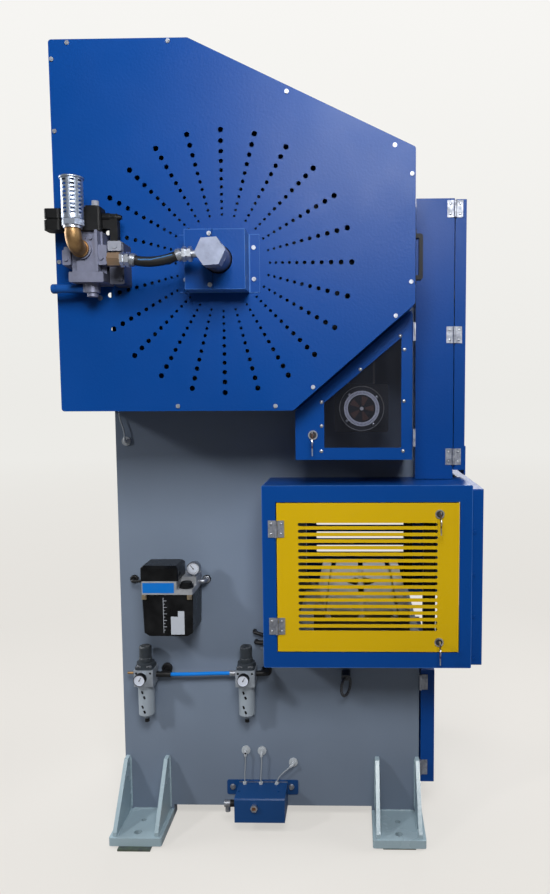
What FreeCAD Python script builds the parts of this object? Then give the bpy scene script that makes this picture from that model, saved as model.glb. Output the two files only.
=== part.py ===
import FreeCAD, Part
import math
import os
import re

from FreeCAD import Placement, Rotation, Vector

# Gap-frame geared stamping press. X runs from the rear to the operator, Y from the photographed side to
# the far side, Z up. The origin is the middle of the four foundation-bolt holes, at floor level.

doc = FreeCAD.newDocument("StampingPress")
sheet = doc.addObject("Spreadsheet::Sheet", "Dimensions")

SIZES = {
    # frame
    "boltSpanX": 806, "boltSpanY": 788, "boltHole": 23, "shimThick": 6, "footThick": 25,
    "footWidth": 162, "footReach": 156, "gussetThick": 12, "gussetRise": 182,
    "frameRear": -477, "frameFront": 473, "frameHalf": 270, "sideThick": 40, "frameClear": 14,
    "bedTop": 625, "throatTop": 1085, "throatDepth": 210, "throatRadius": 60, "frameTop": 1940,
    "bedThick": 60, "rearThick": 20, "crownThick": 28, "stockHalf": 150, "stockLow": 660,
    "stockHigh": 1060,
    # press tooling side
    "slideX": 290, "bolsterThick": 90, "bolsterLength": 680, "bolsterDepth": 296,
    "slideBottom": 1068, "slideBody": 222, "slideHalfX": 140, "gibDepth": 65,
    "slideNeck": 100, "neckOver": 37, "tongueHalf": 42, "tongueOut": 24,
    "gibHalfX": 112, "gibLow": 1100, "gibHigh": 1296, "slideFit": 0.08,
    # drive
    "shaftX": -70, "shaftZ": 1715, "gearModule": 10, "gearTeeth": 54, "pinionTeeth": 21,
    "gearStart": 120, "gearWidth": 70, "shaftRadius": 32, "crankRadius": 45, "crankThrow": 45,
    "pinRadius": 40, "rodLength": 250, "rodHalf": 46, "wristRadius": 24, "cheekRadius": 98,
    "cheekInner": 50, "cheekThick": 40, "endGap": 0.3, "runFit": 0.05,
    "bossThick": 30, "crankBoss": 68, "shaftBoss": 58,
    "wheelRadius": 325, "wheelOut": 40, "wheelWidth": 118, "pulleyRadius": 78,
    "motorX": -330, "motorZ": 2122, "motorInset": 8, "motorRadius": 98, "motorLength": 270,
    "motorFoot": 112, "motorShaft": 14, "beltThick": 9.4, "beltWidth": 10.4, "groovePitch": 19,
    # flywheel guard
    "guardDepth": 330, "guardLeft": -505, "guardRight": 428, "guardTop": 2277, "guardBottom": 1335,
    "guardTopRun": -150, "guardShoulder": 2003, "guardHip": 1611, "guardToe": 108, "sheetThick": 3,
    "guardFlange": 22, "ventZ": 1717, "ventRays": 24, "ventOuter": 334, "ventOuterSize": 14,
    "ventInnerSize": 6.4,
    "coverDepth": 65, "coverWidth": 152, "coverHeight": 148, "coverShift": 8, "coverFlange": 28,
    "unionRadius": 33, "unionProud": 165,
    # window housing and dial
    "houseDepth": 260, "houseBottom": 1198, "houseGap": 4, "houseSheet": 2.5, "houseLip": 12,
    "trayDepth": 20, "doorTipCut": 14.5, "windowLockX": 156, "windowLockZ": 1266,
    "dialX": 290, "dialZ": 1337, "dialRadius": 63, "dialDepth": 200, "dialRing": 49.5, "dialBack": 70,
    "sprocketRadius": 35, "chainOut": 43, "chainWidth": 9,
    # front cabinet
    "cabRear": 452, "cabSeam": 565, "cabDoorDepth": 35, "cabLap": 62, "cabBottom": 1121,
    "cabTop": 1947, "doorGap": 2.5,
    # lower front door
    "lowDoorDepth": 43, "lowDoorBottom": 130, "lowDoorTop": 500, "lowDoorLift": 6,
    # die-space guards
    "boxRear": 4, "boxFront": 604, "boxDepth": 200, "boxBottom": 587, "boxTop": 1119,
    "doorRear": 46, "doorFront": 567, "doorBottom": 635, "doorTop": 1069, "slotCount": 17,
    "slotPitch": 19.1, "slotHeight": 9.5, "slotLength": 399, "slotTop": 1007,
    "portalDepth": 33, "portalInset": 15, "portalBottom": 590, "portalTop": 1106,
    "portalColumn": 80, "portalSill": 40, "portalHead": 60,
    # hinges and locks
    "hingeBarrel": 4.5, "hingePin": 2.5, "hingeHeight": 49, "hingeLeaf": 23, "leafThick": 2.5,
    "lockRadius": 13, "lockFromFront": 56, "lockFromTop": 32, "lockFromBottom": 29,
    "postWidth": 34, "postDepth": 36, "postHeight": 470, "postGap": 38,
    # lubrication
    "pumpLeft": -370, "pumpRight": -216, "pumpHeadLow": 781, "pumpHeadHigh": 822,
    "pumpDepth": 128, "pumpShelf": 25, "tankLow": 652, "coverRise": 46, "coverBevel": 7,
    "coverLength": 113, "pumpGauge": 20,
    # filter-regulators
    "regRearX": -391, "regFrontX": -73, "regOut": 38, "regBlockLow": 470, "regBlockHigh": 522,
    "regWidth": 60, "regGauge": 18, "bowlRadius": 25, "bowlLow": 365, "knobRadius": 20,
    "knobHigh": 592, "tubeLow": 494, "tubeHigh": 498,
    # oil box
    "oilLeft": -107, "oilRight": 50, "oilLow": 51, "oilHigh": 128, "oilDepth": 104,
}

for index, (alias, value) in enumerate(SIZES.items(), start=1):
    sheet.set(f"A{index}", alias)
    sheet.set(f"B{index}", str(value))
    sheet.setAlias(f"B{index}", alias)
doc.recompute()


def size(alias):
    """The value that the sheet holds under a name."""
    return float(sheet.get(alias))


def cell(text):
    """An expression in the sheet's words, as the document reads it."""
    return re.sub(r"[A-Za-z]\w*", lambda word: "Dimensions." + word.group(), text)


nodes = []


def node(label, shape_object):
    """Names a finished sub-part; the name is also its file's."""
    shape_object.Label = label
    nodes.append(shape_object)
    return shape_object


# ------------------------------------------------------------------ building blocks

PLANES = {"X": "YZ_Plane", "Y": "XZ_Plane", "Z": "XY_Plane"}


def new_body(name):
    return doc.addObject("PartDesign::Body", name)


def plane_of(body, role):
    return next(item for item in body.Origin.OriginFeatures if item.Role == role)


def outline_geometry(points):
    """Lines and arcs through the corners; a corner (u, v, r) is rounded with the radius r."""
    count = len(points)
    trims = []
    for index, point in enumerate(points):
        corner = Vector(point[0], point[1], 0)
        radius = point[2] if len(point) > 2 else 0
        if not radius:
            trims.append((corner, None, corner))
            continue
        before = Vector(*points[index - 1][:2], 0) - corner
        after = Vector(*points[(index + 1) % count][:2], 0) - corner
        before.normalize()
        after.normalize()
        half = before.getAngle(after) / 2
        reach = radius / math.tan(half)
        bisector = before + after
        bisector.normalize()
        centre = corner + bisector * (radius / math.sin(half))
        trims.append((corner + before * reach, centre - bisector * radius, corner + after * reach))
    geometry = []
    for index, (start, middle, end) in enumerate(trims):
        if middle is not None:
            geometry.append(Part.Arc(start, middle, end))
        following = trims[(index + 1) % count][0]
        if (following - end).Length > 1e-6:
            geometry.append(Part.LineSegment(end, following))
    return geometry


def circle(u, v, radius):
    return [Part.Circle(Vector(u, v, 0), Vector(0, 0, 1), radius)]


def rectangle(u_low, u_high, v_low, v_high, radius=0):
    corners = [(u_low, v_low), (u_high, v_low), (u_high, v_high), (u_low, v_high)]
    return outline_geometry([(*corner, radius) if radius else corner for corner in corners])


def sketch_on(body, axis, geometry, offset):
    """A sketch across the axis. Sketches across Y read X to the right and Z up."""
    sketch = body.newObject("Sketcher::SketchObject", body.Name + "Sketch")
    sketch.AttachmentSupport = (plane_of(body, PLANES[axis]), "")
    sketch.MapMode = "FlatFace"
    sketch.AttachmentOffset = Placement(Vector(0, 0, offset), Rotation())
    sketch.addGeometry(geometry, False)
    return sketch


def extrude(body, kind, axis, geometry, low, high, length=None):
    """A Pad or Pocket between two stations on an axis; length may be given in the sheet's words."""
    offset = -high if axis == "Y" else low
    feature = body.newObject("PartDesign::" + kind, body.Name + kind)
    feature.Profile = sketch_on(body, axis, geometry, offset)
    feature.Length = high - low
    if length:
        feature.setExpression("Length", cell(length))
    if kind == "Pocket":
        feature.Reversed = True
    body.Tip = feature
    return feature


def pad(body, axis, geometry, low, high, length=None):
    return extrude(body, "Pad", axis, geometry, low, high, length)


def pocket(body, axis, geometry, low, high, length=None):
    return extrude(body, "Pocket", axis, geometry, low, high, length)


def loft(body, axis, sections):
    """Joins outlines at two or more stations on an axis with ruled sides."""
    sketches = [sketch_on(body, axis, geometry, -at if axis == "Y" else at) for geometry, at in sections]
    feature = body.newObject("PartDesign::AdditiveLoft", body.Name + "Loft")
    feature.Profile = sketches[0]
    feature.Sections = sketches[1:]
    feature.Ruled = True
    body.Tip = feature
    return feature


def hexagon(u, v, across, turn=0, radius=0):
    """Six corners of a nut across a centre; across is the width over flats."""
    corner = across / 2 / math.cos(math.pi / 6)
    angles = [math.radians(60 * step + turn) for step in range(6)]
    points = [(u + corner * math.cos(angle), v + corner * math.sin(angle)) for angle in angles]
    return outline_geometry([(*point, radius) for point in points])


def slab(geometry, low, high):
    """A plain plate between two heights with its outline seen from above."""
    edges = Part.sortEdges([line.toShape() for line in geometry])[0]
    plate = Part.Face(Part.Wire(edges)).extrude(Vector(0, 0, high - low))
    return plate.translated(Vector(0, 0, low))


def prism(name, axis, geometry, low, high, length=None):
    body = new_body(name)
    pad(body, axis, geometry, low, high, length)
    return body


def box(name, x, y, z, bind=None):
    """A Part::Box between pairs of stations; bind ties its Length, Width or Height to the sheet."""
    block = doc.addObject("Part::Box", name)
    block.Length = x[1] - x[0]
    block.Width = y[1] - y[0]
    block.Height = z[1] - z[0]
    block.Placement = Placement(Vector(x[0], y[0], z[0]), Rotation())
    for prop, text in (bind or {}).items():
        block.setExpression(prop, cell(text))
    return block


TURN = {
    "X": Rotation(Vector(0, 1, 0), 90),
    "Y": Rotation(Vector(1, 0, 0), -90),
    "Z": Rotation(),
}


def cylinder(name, axis, base, radius, length, bind=None):
    """A Part::Cylinder from its base point along a positive axis."""
    rod = doc.addObject("Part::Cylinder", name)
    rod.Radius = radius
    rod.Height = length
    rod.Placement = Placement(Vector(*base), TURN[axis])
    for prop, text in (bind or {}).items():
        rod.setExpression(prop, cell(text))
    return rod


def lathe(name, axis, base, profile):
    """A turned piece: profile is (radius, station) along the axis from the base point."""
    body = new_body(name)
    sketch = sketch_on(body, "Y", outline_geometry(profile), 0)
    turned = body.newObject("PartDesign::Revolution", name + "Turned")
    turned.Profile = sketch
    turned.ReferenceAxis = (sketch, ["V_Axis"])
    turned.Angle = 360
    body.Placement = Placement(Vector(*base), TURN[axis])
    return body


def fuse(name, pieces):
    joined = doc.addObject("Part::MultiFuse", name)
    joined.Shapes = pieces
    joined.Refine = True
    return joined


def built(item):
    """The shape of a sub-part, computed now."""
    doc.recompute()
    return item.Shape.copy()


def cut(name, base, tool):
    left = doc.addObject("Part::Cut", name)
    left.Base = base
    left.Tool = tool
    left.Refine = True
    return left


def group(name, shapes):
    """Identical small solids that share one node."""
    holder = doc.addObject("Part::Feature", name)
    holder.Shape = Part.makeCompound(shapes)
    return holder


def tube_path(points):
    """Straight runs joined by tangent arcs, each as large as its two runs allow."""
    corners = [Vector(*point) for point in points]
    edges = []
    radii = []
    start = corners[0]
    for before, corner, after in zip(corners, corners[1:], corners[2:]):
        back = before - corner
        ahead = after - corner
        half_turn = (math.pi - back.getAngle(ahead)) / 2
        radius = 0.45 * min(back.Length, ahead.Length) / math.tan(half_turn)
        reach = radius * math.tan(half_turn)
        back.normalize()
        ahead.normalize()
        enter = corner + back * reach
        leave = corner + ahead * reach
        bisector = back + ahead
        bisector.normalize()
        middle = corner + bisector * (radius / math.cos(half_turn) - radius)
        edges.append(Part.LineSegment(start, enter).toShape())
        edges.append(Part.Arc(enter, middle, leave).toShape())
        radii.append(radius)
        start = leave
    edges.append(Part.LineSegment(start, corners[-1]).toShape())
    return Part.Wire(edges), radii


def tube_solid(points, radius):
    """A round tube along a route; its radii and its volume against section times length are printed."""
    wire, radii = tube_path(points)
    first = wire.Edges[0]
    heading = first.tangentAt(first.FirstParameter)
    disc = Part.Wire(Part.makeCircle(radius, Vector(*points[0]), heading))
    solid = wire.makePipeShell([disc], True, False)
    ratio = solid.Volume / (math.pi * radius ** 2 * wire.Length)
    print("tube radius", radius, "length", round(wire.Length, 1), "bends",
          [round(value) for value in radii], "volume ratio", round(ratio, 4))
    return solid


# ------------------------------------------------------------------ derived stations

frameFace = -size("frameHalf")
sideInner = size("frameHalf") - size("sideThick")
guardFace = frameFace - size("guardDepth")
unionEnd = guardFace - size("unionProud")
houseFace = frameFace - size("houseDepth")
dialFace = frameFace - size("dialDepth")
chainY = frameFace - size("chainOut")
wheelNear = frameFace - size("wheelOut")
motorFace = frameFace + size("motorInset")
regAxis = frameFace - size("regOut")
boxHalf = size("frameHalf") + size("boxDepth")
portalHalf = boxHalf - size("portalInset")
portalFront = size("boxFront") + size("portalDepth")
cabHalf = size("frameHalf") + size("cabLap")
cabFront = size("cabSeam") + size("cabDoorDepth")
lowDoorFront = size("frameFront") + size("lowDoorLift") + size("lowDoorDepth")
coverX = size("shaftX") - size("coverShift")
postX = size("boxFront") - 134
lockX = size("doorFront") - size("lockFromFront")
lockHigh = size("doorTop") - size("lockFromTop")
lockLow = size("doorBottom") + size("lockFromBottom")
slideHalfY = sideInner - size("gibDepth") - size("slideFit")
plateTop = size("shimThick") + size("footThick")
frameBottom = plateTop + size("frameClear")
throatBack = size("slideX") - size("throatDepth")
gearRadius = size("gearModule") * size("gearTeeth") / 2
pinionRadius = size("gearModule") * size("pinionTeeth") / 2
crankX = size("slideX")
crankDrop = math.sqrt((gearRadius + pinionRadius) ** 2 - (crankX - size("shaftX")) ** 2)
crankZ = size("shaftZ") - crankDrop
pinZ = crankZ + size("crankThrow")
wristZ = pinZ - size("rodLength")
bolsterTop = size("bedTop") + size("bolsterThick")
slideShoulder = size("slideBottom") + size("slideBody")
neckTop = wristZ + size("neckOver")
guardSlope = (size("guardHip") - size("guardBottom")) / (size("guardRight") - size("guardToe"))


# ------------------------------------------------------------------ hinges

def hinge(name, axis_x, axis_y, low, fixed_side, moving_side):
    """A butt hinge on a vertical axis. A side is (x, y) of the unit step from the barrel to the leaf."""
    height = size("hingeHeight")
    third = height / 3
    barrel = size("hingeBarrel")
    pin = size("hingePin")
    fixed = [
        cylinder(name + "Pin", "Z", (axis_x, axis_y, low), pin, height),
        cylinder(name + "Low", "Z", (axis_x, axis_y, low), barrel, third - 0.2),
        cylinder(name + "High", "Z", (axis_x, axis_y, low + 2 * third + 0.2), barrel, third - 0.2),
        leaf(name + "FixedLeaf", axis_x, axis_y, low, low + third - 0.2, fixed_side, True),
        leaf(name + "FixedLeafTop", axis_x, axis_y, low + 2 * third + 0.2, low + height, fixed_side, True),
        leaf(name + "FixedPlate", axis_x, axis_y, low, low + height, fixed_side, False),
    ]
    knuckle = cylinder(name + "Middle", "Z", (axis_x, axis_y, low + third), barrel, third)
    bore = cylinder(name + "Bore", "Z", (axis_x, axis_y, low + third), pin + 2 * size("runFit"), third)
    arm = leaf(name + "MovingLeaf", axis_x, axis_y, low + third, low + 2 * third, moving_side, True)
    moving = [
        cut(name + "MovingKnuckle", fuse(name + "MovingArm", [knuckle, arm]), bore),
        leaf(name + "MovingPlate", axis_x, axis_y, low, low + height, moving_side, False),
    ]
    return fixed, moving


def leaf(name, axis_x, axis_y, low, high, side, reach_barrel):
    """A leaf lies on the face behind the barrel; near the barrel it reaches in under the knuckle."""
    barrel = size("hingeBarrel")
    thick = size("leafThick")
    inner = 0 if reach_barrel else barrel + 0.4
    outer = barrel + 0.4 if reach_barrel else size("hingeLeaf")
    along_x, along_y, face_x, face_y = side
    x_span = sorted((axis_x + along_x * inner, axis_x + along_x * outer))
    y_span = sorted((axis_y + along_y * inner, axis_y + along_y * outer))
    if face_x:
        x_span = sorted((axis_x + face_x * barrel, axis_x + face_x * (barrel - thick)))
    if face_y:
        y_span = sorted((axis_y + face_y * barrel, axis_y + face_y * (barrel - thick)))
    return box(name, x_span, y_span, (low, high))


# ------------------------------------------------------------------ frame

def side_plate(sign):
    """One side of the C-frame: throat, bearing bosses, and two welded feet with gussets."""
    name = "SidePlateLeft" if sign < 0 else "SidePlateRight"
    half = size("frameHalf")
    foot_x = size("boltSpanX") / 2
    foot_half = size("footWidth") / 2
    radius = size("throatRadius")
    outline = [
        (size("frameRear"), plateTop),
        (-foot_x + foot_half, plateTop),
        (-foot_x + foot_half, frameBottom),
        (foot_x - foot_half, frameBottom),
        (foot_x - foot_half, plateTop),
        (size("frameFront"), plateTop),
        (size("frameFront"), size("bedTop")),
        (throatBack, size("bedTop"), radius),
        (throatBack, size("throatTop"), radius),
        (size("frameFront"), size("throatTop")),
        (size("frameFront"), size("frameTop")),
        (size("frameRear"), size("frameTop")),
    ]
    inner, outer = sorted((sign * sideInner, sign * half))
    body = prism(name + "Body", "Y", outline_geometry(outline), inner, outer, "sideThick")
    boss_low, boss_high = sorted((sign * half, sign * (half + size("bossThick"))))
    for x, z, boss in ((crankX, crankZ, "crankBoss"), (size("shaftX"), size("shaftZ"), "shaftBoss")):
        pad(body, "Y", circle(x, z, size(boss)), boss_low, boss_high, "bossThick")
    reach_low, reach_high = sorted((sign * sideInner, sign * (half + size("footReach"))))
    for end in (-1, 1):
        x = end * foot_x
        plate = rectangle(x - foot_half, x + foot_half, reach_low, reach_high, 6)
        pad(body, "Z", plate, size("shimThick"), plateTop, "footThick")
        for side in (-1, 1):
            web = x + side * (foot_half - 17)
            gusset = outline_geometry([
                (sign * half, plateTop),
                (sign * half, plateTop + size("gussetRise")),
                (sign * (half + 26), plateTop + size("gussetRise")),
                (sign * (half + size("footReach") - 6), plateTop + 14),
                (sign * (half + size("footReach") - 6), plateTop),
            ])
            pad(body, "X", gusset, web - size("gussetThick") / 2, web + size("gussetThick") / 2,
                "gussetThick")
    for x, z, bore in ((crankX, crankZ, "crankRadius"), (size("shaftX"), size("shaftZ"), "shaftRadius")):
        far = half + size("bossThick")
        low, high = sorted((sign * sideInner, sign * far))
        pocket(body, "Y", circle(x, z, size(bore) + size("runFit")), low, high)
    for end in (-1, 1):
        x = end * foot_x
        pocket(body, "Z", circle(x, sign * size("boltSpanY") / 2, size("boltHole") / 2),
               size("shimThick"), plateTop, "footThick")
        pocket(body, "Z", circle(x, sign * (size("boltSpanY") / 2 - 63), 8),
               size("shimThick"), plateTop, "footThick")
    return body


def bed_plate():
    body = prism("BedPlate", "Z", rectangle(throatBack, size("frameFront"), -sideInner, sideInner),
                 size("bedTop") - size("bedThick"), size("bedTop"), "bedThick")
    pocket(body, "Z", circle(size("slideX"), 0, 75), size("bedTop") - size("bedThick"), size("bedTop"))
    for side in (-1, 1):
        rib = rectangle(throatBack, size("frameFront") - 25, side * 150 - 12, side * 150 + 12)
        pad(body, "Z", rib, size("bedTop") - size("bedThick") - 190, size("bedTop") - size("bedThick"))
    return node("bed_plate", body)


def rear_crown_plates():
    """Rear plate with the stock opening, crown plate, and the motor stool welded on it."""
    rear_face = size("frameRear")
    body = prism("RearCrown", "X", rectangle(-sideInner, sideInner, frameBottom, size("frameTop")),
                 rear_face, rear_face + size("rearThick"), "rearThick")
    pocket(body, "X", rectangle(-size("stockHalf"), size("stockHalf"), size("stockLow"),
                                size("stockHigh"), 30), rear_face, rear_face + size("rearThick"))
    pad(body, "Z", rectangle(rear_face + size("rearThick"), size("frameFront"), -sideInner, sideInner),
        size("frameTop") - size("crownThick"), size("frameTop"), "crownThick")
    stool_top = size("motorZ") - size("motorFoot")
    for leg_y in (-225, -15):
        pad(body, "Z", rectangle(size("motorX") - 115, size("motorX") + 115, leg_y - 6, leg_y + 6),
            size("frameTop"), stool_top - 12)
    pad(body, "Z", rectangle(size("motorX") - 130, size("motorX") + 130, -240, 0, 8),
        stool_top - 12, stool_top)
    return node("rear_crown_plates", body)


def foot_shims():
    """Flat shim packs under the four feet, round the bolt; the near rear one sticks out in front."""
    solids = []
    for end in (-1, 1):
        for side in (-1, 1):
            x = end * size("boltSpanX") / 2
            y = side * size("boltSpanY") / 2
            reach = 48 if (end, side) == (-1, -1) else 28
            y_low, y_high = sorted((y + side * reach, y - side * 40))
            pack = Part.makeBox(100, y_high - y_low, size("shimThick"), Vector(x - 50, y_low, 0))
            bolt = Part.makeCylinder(size("boltHole") / 2, size("shimThick"), Vector(x, y, 0))
            solids.append(pack.cut(bolt))
    return node("foot_shims", group("FootShims", solids))


# ------------------------------------------------------------------ bolster, slide and gibs

def bolster():
    half = size("bolsterLength") / 2
    depth = size("bolsterDepth") / 2
    x = size("slideX")
    body = prism("Bolster", "Z", rectangle(x - depth, x + depth, -half, half, 4),
                 size("bedTop"), bolsterTop, "bolsterThick")
    for row in (-105, 0, 105):
        slot = outline_geometry([
            (x + row - 9, bolsterTop + 1), (x + row - 9, bolsterTop - 18),
            (x + row - 16, bolsterTop - 18), (x + row - 16, bolsterTop - 32),
            (x + row + 16, bolsterTop - 32), (x + row + 16, bolsterTop - 18),
            (x + row + 9, bolsterTop - 18), (x + row + 9, bolsterTop + 1),
        ])
        pocket(body, "Y", slot, -half - 1, half + 1)
    pocket(body, "Z", circle(x, 0, 50), size("bedTop"), bolsterTop)
    return node("bolster", body)


def slide():
    """The ram: guided body with side tongues, forked neck with the wrist pin, punch shank bore."""
    x = size("slideX")
    half_x = size("slideHalfX")
    half_y = slideHalfY
    tongue = size("tongueHalf")
    out = half_y + size("tongueOut")
    plan = outline_geometry([
        (x - half_x, -half_y), (x - tongue, -half_y), (x - tongue, -out), (x + tongue, -out),
        (x + tongue, -half_y), (x + half_x, -half_y), (x + half_x, half_y), (x + tongue, half_y),
        (x + tongue, out), (x - tongue, out), (x - tongue, half_y), (x - half_x, half_y),
    ])
    body = prism("Slide", "Z", plan, size("slideBottom"), slideShoulder, "slideBody")
    neck = size("slideNeck")
    pad(body, "Z", rectangle(x - 85, x + 85, -neck, neck, 10), slideShoulder, neckTop)
    fork = size("rodHalf") - 4
    pocket(body, "Z", rectangle(x - 72, x + 72, -fork, fork), wristZ - 62, neckTop)
    pocket(body, "Z", circle(x, 0, 20), size("slideBottom"), size("slideBottom") + 70)
    pad(body, "Y", circle(x, wristZ, size("wristRadius")), -fork, fork)
    pocket(body, "X", rectangle(-95, 95, size("slideBottom") + 30, size("slideBottom") + 110, 8),
           x + half_x - 14, x + half_x)
    return node("slide", body)


def slide_gibs():
    """Two grooved guide blocks bolted to the inner faces of the side plates."""
    x = size("slideX")
    near = sideInner - size("gibDepth")
    groove = slideHalfY + size("tongueOut") + size("slideFit")
    half = size("gibHalfX")
    mouth = size("tongueHalf") + size("slideFit")
    bodies = []
    for side in (-1, 1):
        plan = outline_geometry([
            (x - half, side * sideInner), (x - half, side * near), (x - mouth, side * near),
            (x - mouth, side * groove), (x + mouth, side * groove), (x + mouth, side * near),
            (x + half, side * near), (x + half, side * sideInner),
        ])
        bodies.append(prism("Gib", "Z", plan, size("gibLow"), size("gibHigh"), "gibHigh - gibLow"))
    return node("slide_gibs", fuse("SlideGibs", bodies))


# ------------------------------------------------------------------ crank drive

def connecting_rod():
    """Split-cap rod: big end round the crank pin, small end round the wrist pin."""
    x = crankX
    half = size("rodHalf")
    pin = size("pinRadius")
    wrist = size("wristRadius")
    body = prism("ConRod", "Y", circle(x, pinZ, pin + 24), -half, half, "2 * rodHalf")
    shank = outline_geometry([
        (x - 34, pinZ - 30), (x + 34, pinZ - 30), (x + 22, wristZ), (x - 22, wristZ)])
    pad(body, "Y", shank, -half + 12, half - 12)
    pad(body, "Y", circle(x, wristZ, wrist + 15), -half + 6, half - 6)
    for side in (-1, 1):
        lug = rectangle(x + side * (pin + 20) - 13, x + side * (pin + 20) + 13, pinZ - 24, pinZ + 24)
        pad(body, "Y", lug, -half + 10, half - 10)
    pocket(body, "Y", circle(x, pinZ, pin + size("runFit")), -half, half)
    pocket(body, "Y", circle(x, wristZ, wrist + size("runFit")), -half, half)
    return node("con_rod", body)


def crank_pin():
    reach = size("cheekInner") - size("endGap")
    pin = cylinder("CrankPin", "Y", (crankX, -reach, pinZ), size("pinRadius"), 2 * reach,
                   {"Radius": "pinRadius", "Height": "2 * (cheekInner - endGap)"})
    return node("crank_pin", pin)


def crankshaft():
    """Two halves of the built-up crankshaft; the near one carries the chain sprocket."""
    inner = size("cheekInner")
    cheek = inner + size("cheekThick")
    end = size("frameHalf") + size("bossThick")
    sprocket = -chainY
    radius = size("crankRadius")
    near = lathe("CrankNear", "Y", (crankX, 0, crankZ), [
        (0, -inner), (size("cheekRadius"), -inner), (size("cheekRadius"), -cheek), (radius, -cheek),
        (radius, -end - 2), (22, -end - 2), (22, -sprocket + 3.5), (size("sprocketRadius"), -sprocket + 3.5),
        (size("sprocketRadius"), -sprocket - 3.5), (22, -sprocket - 3.5), (22, -sprocket - 12),
        (0, -sprocket - 12)])
    far = lathe("CrankFar", "Y", (crankX, 0, crankZ), [
        (0, inner), (size("cheekRadius"), inner), (size("cheekRadius"), cheek), (radius, cheek),
        (radius, end + 2), (0, end + 2)])
    return node("crankshaft", fuse("Crankshaft", [near, far]))


def gear_outline(teeth, module, x, z, phase):
    """Straight-flanked teeth, a little thin, so that the pair runs with backlash."""
    pitch = teeth * module / 2
    step = 2 * math.pi / teeth
    root = pitch - 1.22 * module
    tip = pitch + 0.95 * module
    thin = 0.235
    corners = [(root, -0.36), (pitch, -thin), (tip, -0.105), (tip, 0.105), (pitch, thin), (root, 0.36)]
    points = []
    for tooth in range(teeth):
        middle = phase + tooth * step
        for radius, share in corners:
            angle = middle + share * step
            points.append((x + radius * math.cos(angle), z + radius * math.sin(angle)))
    return outline_geometry(points)


def mesh_angle():
    """Direction from the crank's axis to the pinion shaft's axis."""
    return math.atan2(size("shaftZ") - crankZ, size("shaftX") - crankX)


def main_gear():
    start = size("gearStart")
    body = prism("MainGear", "Y", gear_outline(int(size("gearTeeth")), size("gearModule"), crankX, crankZ,
                                               mesh_angle()),
                 start, start + size("gearWidth"), "gearWidth")
    for low, high in ((start, start + 24), (start + size("gearWidth") - 24, start + size("gearWidth"))):
        ring = circle(crankX, crankZ, gearRadius - 42) + circle(crankX, crankZ, 88)
        pocket(body, "Y", ring, low, high)
    pocket(body, "Y", circle(crankX, crankZ, size("crankRadius")), start, start + size("gearWidth"))
    return node("main_gear", body)


def pinion_shaft():
    """Clutch shaft with the pinion cut on it; its drilled end runs into the rotary union."""
    teeth = int(size("pinionTeeth"))
    phase = mesh_angle() + math.pi + math.pi / teeth
    start = size("gearStart") - 4
    pinion = prism("Pinion", "Y", gear_outline(teeth, size("gearModule"), size("shaftX"), size("shaftZ"),
                                               phase), start, start + size("gearWidth") + 8, "gearWidth + 8")
    radius = size("shaftRadius")
    end = size("frameHalf") + size("bossThick") + 2
    shaft = lathe("Shaft", "Y", (size("shaftX"), 0, size("shaftZ")), [
        (0, unionEnd + 23), (12, unionEnd + 23), (12, guardFace + 34), (radius, guardFace + 34),
        (radius, end), (0, end)])
    return node("pinion_shaft", fuse("PinionShaft", [shaft, pinion]))


def flywheel():
    """Rim with V-grooves, dished web, and a hub that runs on the clutch shaft."""
    far = wheelNear
    near = far - size("wheelWidth")
    rim = size("wheelRadius")
    profile = [(size("shaftRadius") + 2 * size("runFit"), near), (80, near), (80, near + 34),
               (rim - 62, near + 34), (rim - 50, near), (rim, near)]
    for belt in (2, 1, 0):
        middle = groove_station(belt)
        profile += [(rim, middle - 8.5), (rim - 13, middle - 5.2), (rim - 13, middle + 5.2),
                    (rim, middle + 8.5)]
    profile += [(rim, far), (rim - 50, far), (rim - 62, far - 34), (80, far - 34), (80, far),
                (size("shaftRadius") + 2 * size("runFit"), far)]
    return node("flywheel", lathe("Flywheel", "Y", (size("shaftX"), 0, size("shaftZ")), profile))


def groove_station(belt):
    return wheelNear - 20 - belt * size("groovePitch")


def clutch_unit():
    """Pneumatic clutch on the shaft's outer end: drum, piston cover and air hub."""
    start = wheelNear - size("wheelWidth") - 6
    radius = size("shaftRadius")
    drum = lathe("ClutchDrum", "Y", (size("shaftX"), 0, size("shaftZ")), [
        (radius, start - 126), (60, start - 126), (60, start - 104), (112, start - 104), (124, start - 96),
        (130, start - 62), (147, start - 62), (150, start - 59), (150, start - 8), (110, start - 8),
        (110, start), (radius, start)])
    return node("clutch_unit", drum)


def motor_pulley():
    radius = size("pulleyRadius")
    profile = [(0, wheelNear - 80), (radius, wheelNear - 80)]
    for belt in (2, 1, 0):
        middle = groove_station(belt)
        profile += [(radius, middle - 8.5), (radius - 13, middle - 5.2), (radius - 13, middle + 5.2),
                    (radius, middle + 8.5)]
    profile += [(radius, wheelNear - 2), (34, wheelNear - 2), (34, motorFace - 4),
                (size("motorShaft"), motorFace - 4), (size("motorShaft"), motorFace + 30),
                (0, motorFace + 30)]
    return node("motor_pulley", lathe("MotorPulley", "Y", (size("motorX"), 0, size("motorZ")), profile))


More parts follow.
